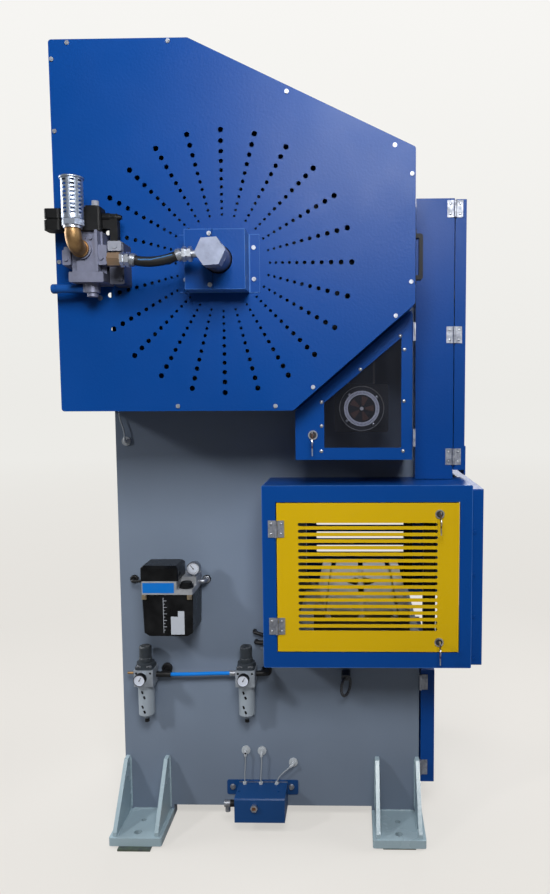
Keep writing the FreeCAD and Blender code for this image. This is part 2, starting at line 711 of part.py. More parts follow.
def belt_loop(centres, radii):
    """A closed loop round two wheels: two outer arcs and two tangents, as one wire across Y."""
    (x0, z0), (x1, z1) = centres
    first, second = radii
    run = math.hypot(x1 - x0, z1 - z0)
    heading = math.atan2(z1 - z0, x1 - x0)
    spread = math.acos((first - second) / run)
    ends = []
    for sign in (1, -1):
        angle = heading + sign * spread
        ends.append((Vector(x0 + first * math.cos(angle), 0, z0 + first * math.sin(angle)),
                     Vector(x1 + second * math.cos(angle), 0, z1 + second * math.sin(angle))))
    back = Vector(x0 - first * math.cos(heading), 0, z0 - first * math.sin(heading))
    front = Vector(x1 + second * math.cos(heading), 0, z1 + second * math.sin(heading))
    return Part.Wire([
        Part.LineSegment(ends[0][0], ends[0][1]).toShape(), Part.Arc(ends[0][1], front, ends[1][1]).toShape(),
        Part.LineSegment(ends[1][1], ends[1][0]).toShape(), Part.Arc(ends[1][0], back, ends[0][0]).toShape()])


def loop_solid(centres, radii, thick, low, width):
    outer = belt_loop(centres, [radius + thick for radius in radii])
    inner = belt_loop(centres, radii)
    face = Part.Face(outer).cut(Part.Face(inner)).Faces[0]
    face.translate(Vector(0, low, 0))
    return face.extrude(Vector(0, width, 0))


def v_belts():
    wheel = (size("shaftX"), size("shaftZ"))
    motor = (size("motorX"), size("motorZ"))
    seat = 10
    solids = []
    for belt in range(3):
        low = groove_station(belt) - size("beltWidth") / 2
        solids.append(loop_solid((wheel, motor), (size("wheelRadius") - seat, size("pulleyRadius") - seat),
                                 size("beltThick"), low, size("beltWidth")))
    return node("v_belts", group("VBelts", solids))


def motor():
    """Finned foot-mounted motor with fan cover and terminal box."""
    x = size("motorX")
    z = size("motorZ")
    face = motorFace
    length = size("motorLength")
    radius = size("motorRadius")
    fins = 20
    points = []
    for fin in range(fins):
        for share, reach in ((-0.32, radius - 14), (-0.12, radius), (0.12, radius), (0.32, radius - 14)):
            angle = 2 * math.pi * (fin + share) / fins
            points.append((x + reach * math.cos(angle), z + reach * math.sin(angle)))
    body = prism("Motor", "Y", outline_geometry(points), face + 24, face + length - 70)
    pad(body, "Y", circle(x, z, radius - 4), face + 6, face + 26)
    pad(body, "Y", circle(x, z, 60), face, face + 8)
    pad(body, "Y", circle(x, z, radius - 2), face + length - 72, face + length)
    for foot_y in (face + 40, face + 150):
        pad(body, "Y", outline_geometry([
            (x - 118, z - size("motorFoot")), (x + 118, z - size("motorFoot")),
            (x + 118, z - size("motorFoot") + 14), (x + 70, z - 60), (x - 70, z - 60),
            (x - 118, z - size("motorFoot") + 14)]), foot_y, foot_y + 36)
    pad(body, "Z", rectangle(x - 55, x + 55, face + 50, face + 160, 8), z + radius - 20, z + radius + 42)
    bore = size("motorShaft") + 0.3
    pocket(body, "Y", circle(x, z, bore), face, face + 31)
    return node("motor", body)


# ------------------------------------------------------------------ flywheel guard and shaft-end cover

def guard_points(inset):
    """The guard's six corners, set in by a distance at right angles to each edge."""
    corners = [
        (size("guardLeft"), size("guardTop")), (size("guardTopRun"), size("guardTop")),
        (size("guardRight"), size("guardShoulder")), (size("guardRight"), size("guardHip")),
        (size("guardToe"), size("guardBottom")), (size("guardLeft"), size("guardBottom")),
    ]
    return inset_points(corners, inset)


def inset_points(corners, inset):
    """Moves every edge of a clockwise outline inwards by the same distance."""
    moved = []
    count = len(corners)
    for index in range(count):
        before = Vector(*corners[index - 1], 0)
        here = Vector(*corners[index], 0)
        after = Vector(*corners[(index + 1) % count], 0)
        arriving = (here - before).normalize()
        leaving = (after - here).normalize()
        inward_a = Vector(arriving.y, -arriving.x, 0)
        inward_b = Vector(leaving.y, -leaving.x, 0)
        step = (inward_a + inward_b) * (inset / (1 + inward_a.dot(inward_b)))
        moved.append((here.x + step.x, here.y + step.y))
    return moved


def flywheel_guard():
    """Folded sheet box with a front flange, open to the frame, a rear wall above it and a chain slot."""
    thick = size("sheetThick")
    front = guardFace + thick
    back = frameFace
    corner = 8
    body = prism("Guard", "Y", rounded(guard_points(0), corner), front, back)
    pocket(body, "Y", rounded(guard_points(thick), corner - thick), front + thick, back)
    pocket(body, "Y", outline_geometry(guard_points(size("guardFlange"))), front, front + thick)
    above = size("frameTop") + 4
    edge = guard_points(1)
    wall = [(edge[0][0], above), edge[0], edge[1], edge[2], (edge[2][0], above)]
    pad(body, "Y", outline_geometry(wall), back - thick, back)
    pocket(body, "Y", circle(size("motorX"), size("motorZ"), 64), back - thick, back)
    slot_half = size("sprocketRadius") + 20
    middle = size("guardBottom") + guardSlope * (size("dialX") - size("guardToe"))
    slot = rectangle(size("dialX") - slot_half, size("dialX") + slot_half, middle - 70, middle + 70)
    pocket(body, "Y", slot, chainY - 20, back)
    return node("flywheel_guard", body)


def rounded(points, radius):
    return outline_geometry([(*point, radius) for point in points])


def vent_ray():
    """One ray of eleven vent holes, closing up and shrinking towards the shaft."""
    geometry = []
    radius = size("ventOuter")
    diameter = size("ventOuterSize")
    shrink = (size("ventInnerSize") / diameter) ** 0.1
    step = 27.5
    for _ in range(11):
        geometry += circle(0, radius, diameter / 2)
        radius -= step
        step *= 0.94
        diameter *= shrink
    return geometry


def guard_face():
    """Vented front sheet of the guard, screwed to the box's flange: one ray, repeated round the shaft."""
    face = guardFace
    thick = size("sheetThick")
    body = prism("GuardFace", "Y", rounded(guard_points(0), 8), face, face + thick, "sheetThick")
    pocket(body, "Y", circle(size("shaftX"), size("shaftZ"), 45), face, face + thick)
    ray = sketch_on(body, "Y", vent_ray(), -face - thick)
    ray.AttachmentOffset = Placement(Vector(size("shaftX"), size("ventZ"), -face - thick), Rotation())
    first = body.newObject("PartDesign::Pocket", "FirstRay")
    first.Profile = ray
    first.Length = thick
    first.Reversed = True
    first.Refine = False
    rays = body.newObject("PartDesign::PolarPattern", "Rays")
    rays.Originals = [first]
    rays.Axis = (ray, ["N_Axis"])
    rays.Angle = 360
    rays.setExpression("Occurrences", cell("ventRays"))
    rays.Refine = False
    body.Tip = rays
    return node("guard_face", body)


def pan_head(x, y, z, direction, radius=5.5):
    """A pan-head screw standing on a face, towards the unit direction."""
    axis = Vector(*direction)
    head = Part.makeCylinder(radius, 2.6, Vector(x, y, z), axis)
    boss = Part.makeCylinder(radius * 0.55, 0.9, Vector(x, y, z) + axis * 2.6, axis)
    return head.fuse(boss)


GUARD_SCREWS = [(0, 0.116, 9), (0, 0.863, 8), (1, 0.448, 15), (1, 0.938, 19), (2, 0.16, 9), (2, 0.869, 11),
                (3, 0.132, 9), (3, 0.815, 11), (4, 0.069, 12), (4, 0.501, 13), (5, 0.41, 9), (5, 0.766, 9),
                (5, 0.956, 8)]


def guard_screws():
    """Screws of the guard's face along its edges, of the shaft cover and of the front guard frame."""
    near = (0, -1, 0)
    solids = []
    for edge, share, inset in GUARD_SCREWS:
        corners = guard_points(inset)
        start, end = corners[edge], corners[(edge + 1) % len(corners)]
        x = start[0] + share * (end[0] - start[0])
        z = start[1] + share * (end[1] - start[1])
        solids.append(pan_head(x, guardFace, z, near))
    cover = guardFace - size("coverDepth")
    solids += [pan_head(coverX - 13, cover, size("shaftZ") + side * 63, near) for side in (-1, 1)]
    for end in (-1, 1):
        flange = coverX + end * (size("coverWidth") / 2 + 13)
        solids += [pan_head(flange, guardFace - 2, size("shaftZ") + side * 40, near) for side in (-1, 1)]
    portal = size("boxFront") + 9
    spread = (size("portalTop") - size("portalBottom") - 145) / 3
    lowest = size("portalBottom") + 21
    solids += [pan_head(portal, -portalHalf, lowest + row * spread, near) for row in range(4)]
    return node("guard_screws", group("GuardScrews", solids))


def union_cover(side):
    """One half of the raised cover: a folded box half with its flange, notched for the union."""
    face = guardFace
    seam = coverX - 6
    left = coverX - size("coverWidth") / 2
    right = left + size("coverWidth")
    low = size("shaftZ") - size("coverHeight") / 2
    high = low + size("coverHeight")
    thick = size("houseSheet")
    flange = size("coverFlange")
    if side == "left":
        x_low, x_high, tab = left, seam - 0.5, (left - flange, left + thick)
        hollow = (left + thick, seam)
    else:
        x_low, x_high, tab = seam + 0.5, right, (right - thick, right + flange)
        hollow = (seam, right - thick)
    body = prism("UnionCover" + side, "Y", rectangle(x_low, x_high, low, high),
                 face - size("coverDepth"), face, "coverDepth")
    pocket(body, "Y", rectangle(*hollow, low + thick, high - thick), face - size("coverDepth") + thick, face)
    pad(body, "Y", rectangle(*tab, low, high), face - 2, face)
    pocket(body, "Y", circle(size("shaftX"), size("shaftZ"), size("unionRadius") + 3),
           face - size("coverDepth"), face - size("coverDepth") + thick)
    return body


def rotary_union():
    """Turned body with a hexagonal head and a side port, bored for the shaft's end."""
    x = size("shaftX")
    z = size("shaftZ")
    start = guardFace - 34
    end = unionEnd
    body = prism("RotaryUnion", "Y", circle(x, z, size("unionRadius")), end + 34, start)
    pad(body, "Y", circle(x, z, 24), start, start + 26)
    pad(body, "Y", hexagon(x, z, 64, 4, 2), end, end + 36)
    pocket(body, "Y", circle(x, z, 12 + 2 * size("runFit")), unionEnd + 22, start + 26)
    return node("rotary_union", body)


# ------------------------------------------------------------------ double valve, fittings and air hose

hoseY = guardFace - 116
hoseLowZ = size("shaftZ") - 9
hoseHighZ = size("shaftZ") + 3
hoseRadius = 12
valveTop = 1788
elbowX = -416
silencerY = guardFace - 106


def valve_body():
    """Cast double-valve body: stepped block with wings, bosses for its screws, elbow seat and bottom port."""
    face = guardFace
    seat = face - 55
    outline = [(-441, 1659, 4), (-354, 1659, 4), (-354, 1701), (-345, 1701, 3), (-345, 1750, 3), (-362, 1750),
               (-362, valveTop, 4), (-417, valveTop, 4), (-417, 1750), (-461, 1750, 3), (-461, 1701, 3),
               (-441, 1701)]
    body = prism("ValveBody", "Y", outline_geometry(outline), seat, face)
    pad(body, "Y", rectangle(-441, -354, 1659, 1684, 3), seat - 25, seat)
    pad(body, "Y", rectangle(-423, -372, 1684, 1712, 3), seat - 17, seat)
    pad(body, "Y", rectangle(-371, -345, 1701, 1750, 3), seat - 22, seat)
    pad(body, "Y", rectangle(-373, -366, 1684, 1786, 2), seat - 26, seat)
    pad(body, "Y", rectangle(-461, -440, 1703, 1740, 3), seat - 12, seat)
    pad(body, "Y", circle(elbowX, 1744, 26), seat - 6, seat)
    bosses = [(-450, 1717, 16), (-358, 1718, 27), (-392, 1772, 4), (-408, 1772, 4), (-376, 1772, 4)]
    for x, z, reach in bosses:
        pad(body, "Y", circle(x, z, 5), seat - reach, seat)
    pad(body, "Z", circle(-395.5, face - 42, 19), 1637, 1662)
    pad(body, "Z", circle(-395.5, face - 42, 14), 1627, 1640)
    pad(body, "X", rectangle(face - 54, face - 30, 1638, 1659), -416, -396)
    return node("valve_body", body)


def valve_pilot():
    """Dark pilot block beside the valve and its terminal bar with two plugs, a cable gland and a cap."""
    face = guardFace
    block = prism("PilotBlock", "Y", rectangle(-344.7, -308, 1656, 1760, 4), face - 60, face)
    pad(block, "Y", rectangle(-344, -310, 1736, 1760, 3), face - 72, face - 60)
    pad(block, "Y", circle(-327, 1748, 7), face - 74, face - 72)
    pad(block, "Y", rectangle(-322, -311, 1664, 1680, 2), face - 66, face - 60)
    pad(block, "Z", rectangle(-344, -325, face - 50, face - 30), 1760, 1832)
    right = prism("RightPlug", "Z", rectangle(-412, -362.3, face - 64, face - 20, 8), valveTop + 0.3, 1846)
    pad(right, "Z", rectangle(-406, -370, face - 58, face - 26, 8), 1846, 1851)
    pad(right, "Z", circle(-382, face - 42, 9), 1851, 1865)
    pad(right, "X", rectangle(face - 50, face - 30, 1795, 1832), -500, -340)
    gland = lathe("CableGland", "X", (0, face - 42, 1824), [
        (0, -364), (11, -364), (11, -345), (9, -342), (9, -330), (5, -316), (0, -316)])
    left = prism("LeftPlug", "Z", rectangle(-508, -463, face - 64, face - 20, 10), 1791, 1815)
    pad(left, "Z", rectangle(-504, -463, face - 61, face - 23, 9), 1815, 1820)
    pad(left, "Z", rectangle(-507, -463, face - 64, face - 20, 10), 1820, 1843)
    return node("valve_pilot", fuse("ValvePilot", [block, right, gland, left]))


def valve_silencer():
    """Perforated tube silencer on its nut: nine rows of slots, eight in a row, and a rolled rim."""
    x, y = elbowX + 1, silencerY
    radius, wall, low = 26, 2.5, 1805
    height = 100
    tube = Part.makeCylinder(radius, height, Vector(x, y, low))
    tube = tube.cut(Part.makeCylinder(radius - wall, height - 6, Vector(x, y, low + 3)))
    rim = Part.makeTorus(radius, 3, Vector(x, y, low + height - 3))
    slots = []
    for row in range(9):
        for turn in range(4):
            slot = Part.makeBox(2 * radius + 8, 11, 5, Vector(-radius - 4, -5.5, low + 10 + row * 9.6))
            slot.rotate(Vector(0, 0, 0), Vector(0, 0, 1), 45 * turn + 22.5)
            slots.append(slot.translated(Vector(x, y, 0)))
    ring = Part.makeCylinder(24, 1.6, Vector(x, y, low - 1.6))
    holder = doc.addObject("Part::Feature", "Silencer")
    body = tube.cut(slots).fuse([rim, ring, slab(hexagon(x, y, 48), low - 15.6, low - 1.6)])
    holder.Shape = body.removeSplitter()
    return node("valve_silencer", holder)


UNION_HOSE = [
    (-274, hoseY, hoseLowZ), (-246, hoseY, hoseLowZ - 5.5), (-215, hoseY, hoseLowZ - 6),
    (-182, hoseY, hoseLowZ - 0.3), (-148, hoseY, hoseHighZ),
]


def brass_elbow():
    """Ninety-degree elbow: out of the valve's seat, round a quarter bend, up into the silencer's nut."""
    low = 1744
    bend = 30
    radius = 19.5
    seat = guardFace - 61
    turn_y = silencerY + bend
    run = Part.makeCylinder(radius, seat - turn_y, Vector(elbowX, turn_y, low), Vector(0, 1, 0))
    mouth = Part.Face(Part.Wire(Part.makeCircle(radius, Vector(elbowX, turn_y, low), Vector(0, 1, 0))))
    quarter = mouth.revolve(Vector(elbowX, turn_y, low + bend), Vector(1, 0, 0), -90)
    rise = Part.makeCylinder(radius - 1, 1789 - low - bend, Vector(elbowX, silencerY, low + bend))
    bead = Part.makeCylinder(radius + 2.5, 6, Vector(elbowX, silencerY, 1783))
    lip = Part.makeCylinder(radius + 2.5, 7, Vector(elbowX, seat - 7, low), Vector(0, 1, 0))
    return run.fuse([quarter, rise, bead, lip])


def hose_end(along, start, heading):
    """Swivel nut in two ridges and the crimped ferrule round the hose's first straight stretch."""
    low, high = along
    ridge = 0.36 * (high - low)
    spans = [(low, low + ridge), (low + ridge, high - ridge), (high - ridge, high)]
    upright = Placement(Vector(0, hoseY, start.z), Rotation(Vector(0, 1, 0), 90))
    solids = []
    for across, (near, far) in zip((32, 26, 32), spans):
        nut = slab(hexagon(0, 0, across), near, far)
        nut.Placement = upright.multiply(nut.Placement)
        solids.append(nut)
    ferrule = Part.makeCylinder(hoseRadius + 2.5, 13, start, heading)
    for reach in (3, 8):
        ferrule = ferrule.fuse(Part.makeCylinder(hoseRadius + 4, 2.5, start + heading * reach, heading))
    solids.append(ferrule.cut(Part.makeCylinder(hoseRadius, 13, start, heading)))
    return solids[0].fuse(solids[1:])


def pipe_fittings():
    """Brass exhaust elbow and hose adaptor, air inlet stub, and the hose's two crimped swivel fittings."""
    face = guardFace
    starts = [Vector(*UNION_HOSE[0]), Vector(*UNION_HOSE[-1])]
    headings = [Vector(*UNION_HOSE[1]) - starts[0], Vector(*UNION_HOSE[-2]) - starts[1]]
    for heading in headings:
        heading.normalize()
    adaptor = prism("HoseAdaptor", "X", hexagon(hoseY, hoseLowZ, 31, 0), -327, -297)
    pad(adaptor, "Y", circle(-314, hoseLowZ, 11), hoseY, face - 60)
    low_end = Part.makeCylinder(9, 30, Vector(-300, hoseY, hoseLowZ), Vector(1, 0, 0))
    low_end = low_end.fuse(hose_end((-297, -275), starts[0], headings[0]))
    port_end = size("shaftX") - size("unionRadius") + 1.5
    high_end = Part.makeCylinder(9, port_end + 150, Vector(-150, hoseY, hoseHighZ), Vector(1, 0, 0))
    high_end = high_end.fuse(hose_end((-145, -123), starts[1], headings[1]))
    saddle = Part.makeCylinder(size("unionRadius"), 131, Vector(size("shaftX"), unionEnd, size("shaftZ")),
                               Vector(0, 1, 0))
    inlet = Part.makeCylinder(10.5, 84, Vector(-500, face - 42, 1648), Vector(1, 0, 0))
    inlet = inlet.fuse(Part.makeCylinder(12, 10, Vector(-498, face - 42, 1648), Vector(1, 0, 0)))
    holder = doc.addObject("Part::Feature", "PipeFittings")
    adaptor_shape = built(adaptor)
    hose_low = adaptor_shape.fuse(low_end)
    holder.Shape = Part.makeCompound([brass_elbow(), hose_low, high_end.cut(saddle), inlet])
    return node("pipe_fittings", holder)




def union_hose():
    hose = doc.addObject("Part::Feature", "UnionHose")
    hose.Shape = tube_solid(UNION_HOSE, hoseRadius)
    return node("union_hose", hose)


def guard_handle():
    """Bent pull handle on the guard's front wall."""
    wall = size("guardRight")
    low, high = 1676, 1794
    y = guardFace + 40
    body = prism("Handle", "Y", outline_geometry([
        (wall, low), (wall + 22, low, 7), (wall + 22, high, 7), (wall, high), (wall, high - 11),
        (wall + 12, high - 11, 3), (wall + 12, low + 11, 3), (wall, low + 11)]), y - 10, y + 10)
    for z in (low, high):
        inward = 1 if z == low else -1
        z_low, z_high = sorted((z - inward * 12, z + inward * 11))
        pad(body, "Y", rectangle(wall, wall + 5, z_low, z_high), y - 10, y + 10)
    return node("guard_handle", body)


# ------------------------------------------------------------------ window housing, its door and the dial

def house_points(inset):
    """Housing outline under the guard's slope, with the same slope and a small gap."""
    left = size("guardToe")
    right = size("guardRight") - 1
    under = size("guardBottom") - size("houseGap")
    corners = [(left, under), (right, under + guardSlope * (right - left)),
               (right, size("houseBottom")), (left, size("houseBottom"))]
    return inset_points(corners, inset)


def window_hinges():
    """Two hinges on the housing's front edge; the barrel stands proud of the right wall."""
    x = size("guardRight") - 1 + size("hingeBarrel")
    y = houseFace + 6
    return [hinge_on_wall("WindowHinge" + str(index), x, y, low) for index, low in enumerate((1233, 1520))]


def hinge_on_wall(name, x, y, low):
    """Leaves lie on the wall at the barrel's -X side, one to the rear (+Y) and one on the door (-Y side)."""
    return hinge(name, x, y, low, (0, 1, -1, 0), (0, -1, -1, 0))


def window_housing():
    thick = size("houseSheet")
    back = frameFace
    front = houseFace + size("trayDepth") + size("doorGap")
    body = prism("WindowHousing", "Y", outline_geometry(house_points(0)), front, back)
    pocket(body, "Y", outline_geometry(house_points(thick)), front + thick, back)
    pocket(body, "Y", outline_geometry(house_points(thick + size("houseLip"))), front, front + thick)
    slot_half = size("sprocketRadius") + 20
    middle = size("guardBottom") + guardSlope * (size("dialX") - size("guardToe"))
    slot = rectangle(size("dialX") - slot_half, size("dialX") + slot_half, middle - 70, middle + 70)
    pocket(body, "Y", slot, chainY - 20, back)
    return body


def window_opening(grow):
    left, right = 187, 397
    low = 1231
    high_left, high_right = 1354, 1529
    return [(left - grow, high_left + grow * 0.5), (right + grow, high_right + grow * 1.8),
            (right + grow, low - grow), (left - grow, low - grow)]


def window_door_points(inset):
    """The housing's outline with its sharp tip cut off level, so that the door swings clear of the guard."""
    top_left, top_right, low_right, low_left = house_points(0)
    tip_x = top_right[0] - size("doorTipCut")
    tip_z = top_right[1] - guardSlope * size("doorTipCut")
    return inset_points([top_left, (tip_x, tip_z), (top_right[0], tip_z), low_right, low_left], inset)


def window_door():
    face = houseFace
    thick = size("houseSheet")
    back = face + size("trayDepth")
    body = prism("WindowDoor", "Y", outline_geometry(window_door_points(0)), face, back, "trayDepth")
    pocket(body, "Y", outline_geometry(window_door_points(thick)), face + thick, back)
    pocket(body, "Y", outline_geometry(window_opening(0)), face, face + thick)
    lock = circle(size("windowLockX"), size("windowLockZ"), size("lockRadius") - 3)
    pocket(body, "Y", lock, face, face + thick)
    return body


def window_group():
    fixed_side = []
    door_side = []
    for fixed, moving in window_hinges():
        fixed_side += fixed
        door_side += moving
    node("window_housing", fuse("WindowHousingAll", [window_housing(), *fixed_side]))
    node("window_door", fuse("WindowDoorAll", [window_door(), *door_side]))
    face = houseFace + size("houseSheet")
    node("window_pane", prism("WindowPane", "Y", outline_geometry(window_opening(9)), face, face + 4))


def cam_lock(name, label, x, face, z, cam_span, grip):
    """Key barrel with rosette and cam, the key in it and a second key hanging from the ring."""
    radius = size("lockRadius")
    barrel = radius - 3.3
    profile = [(0, -3), (radius, -3), (radius, 0), (barrel, 0), (barrel, grip), (0, grip)]
    lock = lathe(name, "Y", (x, face, z), profile)
    blade = box(name + "Blade", (x - 1.2, x + 1.2), (face - 22, face - 3), (z - 4, z + 4))
    bow = box(name + "Bow", (x - 1.2, x + 1.2), (face - 40, face - 21), (z - 12, z + 11))
    loop = circle(face - 34, z - 17, 12.5) + circle(face - 34, z - 17, 10.5)
    ring = prism(name + "Ring", "X", loop, x - 1, x + 1)
    spare = box(name + "Spare", (x - 1.2, x + 1.2), (face - 40, face - 28), (z - 54, z - 27))
    cam_z = (z + cam_span[0], z + cam_span[1])
    cam = box(name + "Cam", (x - 8, x + 8), (face + grip, face + grip + 3), cam_z)
    return node(label, fuse(name + "All", [lock, blade, bow, ring, spare, cam]))


def dial_housing():
    """Angle dial: standoffs from the frame, back plate, drum and the marked ring."""
    x, z, face = size("dialX"), size("dialZ"), dialFace
    ring = size("dialRing")
    back = face + size("dialBack") - 12
    drum = prism("DialDrum", "Y", circle(x, z, size("dialRadius")), face, back + 4)
    pad(drum, "Y", rectangle(x - 78, x + 78, z - 70, z + 70, 10), back, back + 10)
    for side_x in (-1, 1):
        for side_z in (-1, 1):
            pad(drum, "Y", circle(x + side_x * 64, z + side_z * 56, 7), back + 8, frameFace)
    pad(drum, "Y", circle(x, z, ring), face - 5, face + 1)
    pocket(drum, "Y", circle(x, z, ring - 10.5), face - 5, face - 1)
    pocket(drum, "Y", circle(x, z, 8 + 2 * size("runFit")), face - 1, back + 10)
    return node("dial_housing", drum)


def dial_pointer():
    x = size("dialX")
    z = size("dialZ")
    face = dialFace
    chain = chainY
    shaft = lathe("DialShaft", "Y", (x, 0, z), [
        (0, face - 13), (5, face - 13), (5, face - 4), (37, face - 4), (37, face - 1.3), (8, face - 1.3),
        (8, chain - 3.5), (size("sprocketRadius"), chain - 3.5), (size("sprocketRadius"), chain + 3.5),
        (12, chain + 3.5), (12, chain + 10), (0, chain + 10)])
    taper = outline_geometry([(x - 3, z), (x + 3, z), (x + 1, z + 34), (x - 1, z + 34)])
    hand = prism("DialHand", "Y", taper, face - 6, face - 3.5)
    return node("dial_pointer", fuse("DialPointer", [shaft, hand]))


def dial_chain():
    """Roller chain from the crankshaft's end down to the dial, as one closed band."""
    band = loop_solid(((crankX, crankZ), (size("dialX"), size("dialZ"))),
                      (size("sprocketRadius") + 0.35, size("sprocketRadius") + 0.35), 6,
                      chainY - size("chainWidth") / 2, size("chainWidth"))
    return node("dial_chain", group("DialChain", [band]))


# ------------------------------------------------------------------ front cabinet and doors

def cabinet_hinges():
    x = size("cabSeam") + size("doorGap") / 2
    y = -cabHalf - size("hingeBarrel")
    return [hinge("CabinetHinge" + str(index), x, y, low, (-1, 0, 0, 1), (1, 0, 0, 1))
            for index, low in enumerate((1164, 1527, 1892))]


def front_cabinet():
    """Sheet-metal cover over the crown's front, wrapped round the frame, with a hinged tray door."""
    half = cabHalf
    thick = size("houseSheet")
    rear, seam = size("cabRear"), size("cabSeam")
    low, high = size("cabBottom"), size("cabTop")
    frame_clear = size("frameHalf") + 0.3
    shell = prism("CabinetShell", "Z", rectangle(rear, seam, -half, half), low, high, "cabTop - cabBottom")
    inside = rectangle(rear + thick, seam - thick, -half + thick, half - thick)
    pocket(shell, "Z", inside, low + thick, high - thick)
    pocket(shell, "X", rectangle(-half + 30, half - 30, low + 30, high - 30), seam - thick - 1, seam)
    pocket(shell, "Z", rectangle(rear - 1, size("frameFront") + 0.3, -frame_clear, frame_clear), low, high)
    pocket(shell, "Z", rectangle(size("frameFront"), seam - 40, -170, 170), low, low + thick)
    fixed_side = []
    door_side = []
    for fixed, moving in cabinet_hinges():
        fixed_side += fixed
        door_side += moving
    node("front_cabinet", fuse("FrontCabinet", [shell, *fixed_side]))
    front = cabFront
    door_low, door_high = low + 27, high - 3
    plan = rectangle(-half, half, door_low, door_high)
    tray = prism("CabinetTray", "X", plan, seam + size("doorGap"), front)
    pocket(tray, "X", rectangle(-half + thick, half - thick, door_low + thick, door_high - thick),
           seam + size("doorGap"), front - thick)
    pad(tray, "X", rectangle(-half + 3, half - 3, door_low - 16, door_low + 72, 4), front, front + 4)
    pad(tray, "X", rectangle(half - 70, half - 40, 1480, 1600, 6), front, front + 18)
    pocket(tray, "X", rectangle(half - 62, half - 48, 1492, 1588), front + 4, front + 18)
    node("cabinet_door", fuse("CabinetDoor", [tray, *door_side]))


def lower_front_door():
    """Tray door over the base's front opening, on two hinges at the near edge of the frame."""
    front = lowDoorFront
    rear = size("frameFront") + size("lowDoorLift")
    half = size("frameHalf")
    low, high = size("lowDoorBottom"), size("lowDoorTop")
    thick = size("houseSheet")
    tray = prism("LowDoorTray", "X", rectangle(-half, half, low, high), rear, front)
    pocket(tray, "X", rectangle(-half + thick, half - thick, low + thick, high - thick), rear, front - thick)
    pad(tray, "X", rectangle(half - 60, half - 30, 290, 390, 6), front, front + 16)
    pocket(tray, "X", rectangle(half - 53, half - 37, 302, 378), front + 4, front + 16)
    x = size("frameFront") + size("hingeBarrel")
    y = -half - size("hingeBarrel")
    door_side = [tray]
    brackets = []
    for index, base in enumerate((155, 437)):
        fixed, moving = hinge("LowHinge" + str(index), x, y, base, (0, 1, -1, 0), (1, 0, 0, 1))
        brackets += fixed
        door_side += moving
    node("lower_front_door", fuse("LowerFrontDoor", door_side))
    return brackets


# ------------------------------------------------------------------ die-space guards

def slot_row(geometry_x, z):
    """One slot with round ends."""
    half = size("slotLength") / 2
    radius = size("slotHeight") / 2
    low, high = z - radius, z + radius
    left, right = geometry_x - half, geometry_x + half
    return [
        Part.LineSegment(Vector(left + radius, low, 0), Vector(right - radius, low, 0)),
        Part.Arc(Vector(right - radius, low, 0), Vector(right, z, 0), Vector(right - radius, high, 0)),
        Part.LineSegment(Vector(right - radius, high, 0), Vector(left + radius, high, 0)),
        Part.Arc(Vector(left + radius, high, 0), Vector(left, z, 0), Vector(left + radius, low, 0)),
    ]


def slot_rows():
    middle = (size("doorRear") + size("doorFront")) / 2
    geometry = []
    for row in range(int(size("slotCount"))):
        geometry += slot_row(middle, size("slotTop") - row * size("slotPitch"))
    return geometry


def guard_box(sign, name):
    """Folded box beside the die space, open towards the frame, with returns on the frame's side."""
    thick = size("houseSheet")
    outer, inner = sign * boxHalf, sign * size("frameHalf")
    rear, front = size("boxRear"), size("boxFront")
    low, high = size("boxBottom"), size("boxTop")
    y_low, y_high = sorted((outer, inner))
    body = prism(name, "Y", rectangle(rear, front, low, high, 4), y_low, y_high)
    hollow_low, hollow_high = sorted((sign * (boxHalf - thick), sign * (size("frameHalf") + thick)))
    hollow = rectangle(rear + thick, front - thick, low + thick, high - thick, 2)
    pocket(body, "Y", hollow, hollow_low, hollow_high)
    back_low, back_high = sorted((sign * (size("frameHalf") + thick), inner))
    mouth = rectangle(throatBack - 20, front - thick, low + 30, size("throatTop") + 8)
    pocket(body, "Y", mouth, back_low, back_high)
    reach_low, reach_high = sorted((inner, sign * (portalHalf - size("portalColumn"))))
    pocket(body, "X", rectangle(reach_low, reach_high, size("portalBottom") + size("portalSill"),
                                size("portalTop") - size("portalHead")), front - thick, front)
    return body


def die_guards():
    face = -boxHalf
    thick = size("houseSheet")
    gap = size("doorGap")
    left = guard_box(-1, "DieGuardLeft")
    door_x = (size("doorRear"), size("doorFront"))
    door_z = (size("doorBottom"), size("doorTop"))
    fold = gap + thick
    pad(left, "Y", rectangle(door_x[0] - fold, door_x[1] + fold, door_z[0] - fold, door_z[1] + fold),
        face + thick, face + 14)
    pocket(left, "Y", rectangle(door_x[0] - gap, door_x[1] + gap, door_z[0] - gap, door_z[1] + gap),
           face, face + 14)
    door = prism("DieDoor", "Y", rectangle(*door_x, *door_z), face, face + 16)
    pocket(door, "Y", rectangle(door_x[0] + thick, door_x[1] - thick, door_z[0] + thick, door_z[1] - thick),
           face + thick, face + 16)
    pocket(door, "Y", slot_rows(), face, face + thick)
    for z in (lockHigh, lockLow):
        pocket(door, "Y", circle(lockX, z, size("lockRadius") - 3), face, face + thick)
    fixed_side = []
    door_side = []
    for index, low in enumerate((686, 970)):
        fixed, moving = hinge("DieHinge" + str(index), door_x[0] - gap / 2, face - size("hingeBarrel"), low,
                              (-1, 0, 0, 1), (1, 0, 0, 1))
        fixed_side += fixed
        door_side += moving
    node("die_guard_left", fuse("DieGuardLeftAll", [left, *fixed_side]))
    node("die_door_left", fuse("DieDoorLeft", [door, *door_side]))
    right = guard_box(1, "DieGuardRight")
    pocket(right, "Y", slot_rows(), -face - thick, -face)
    node("die_guard_right", right)


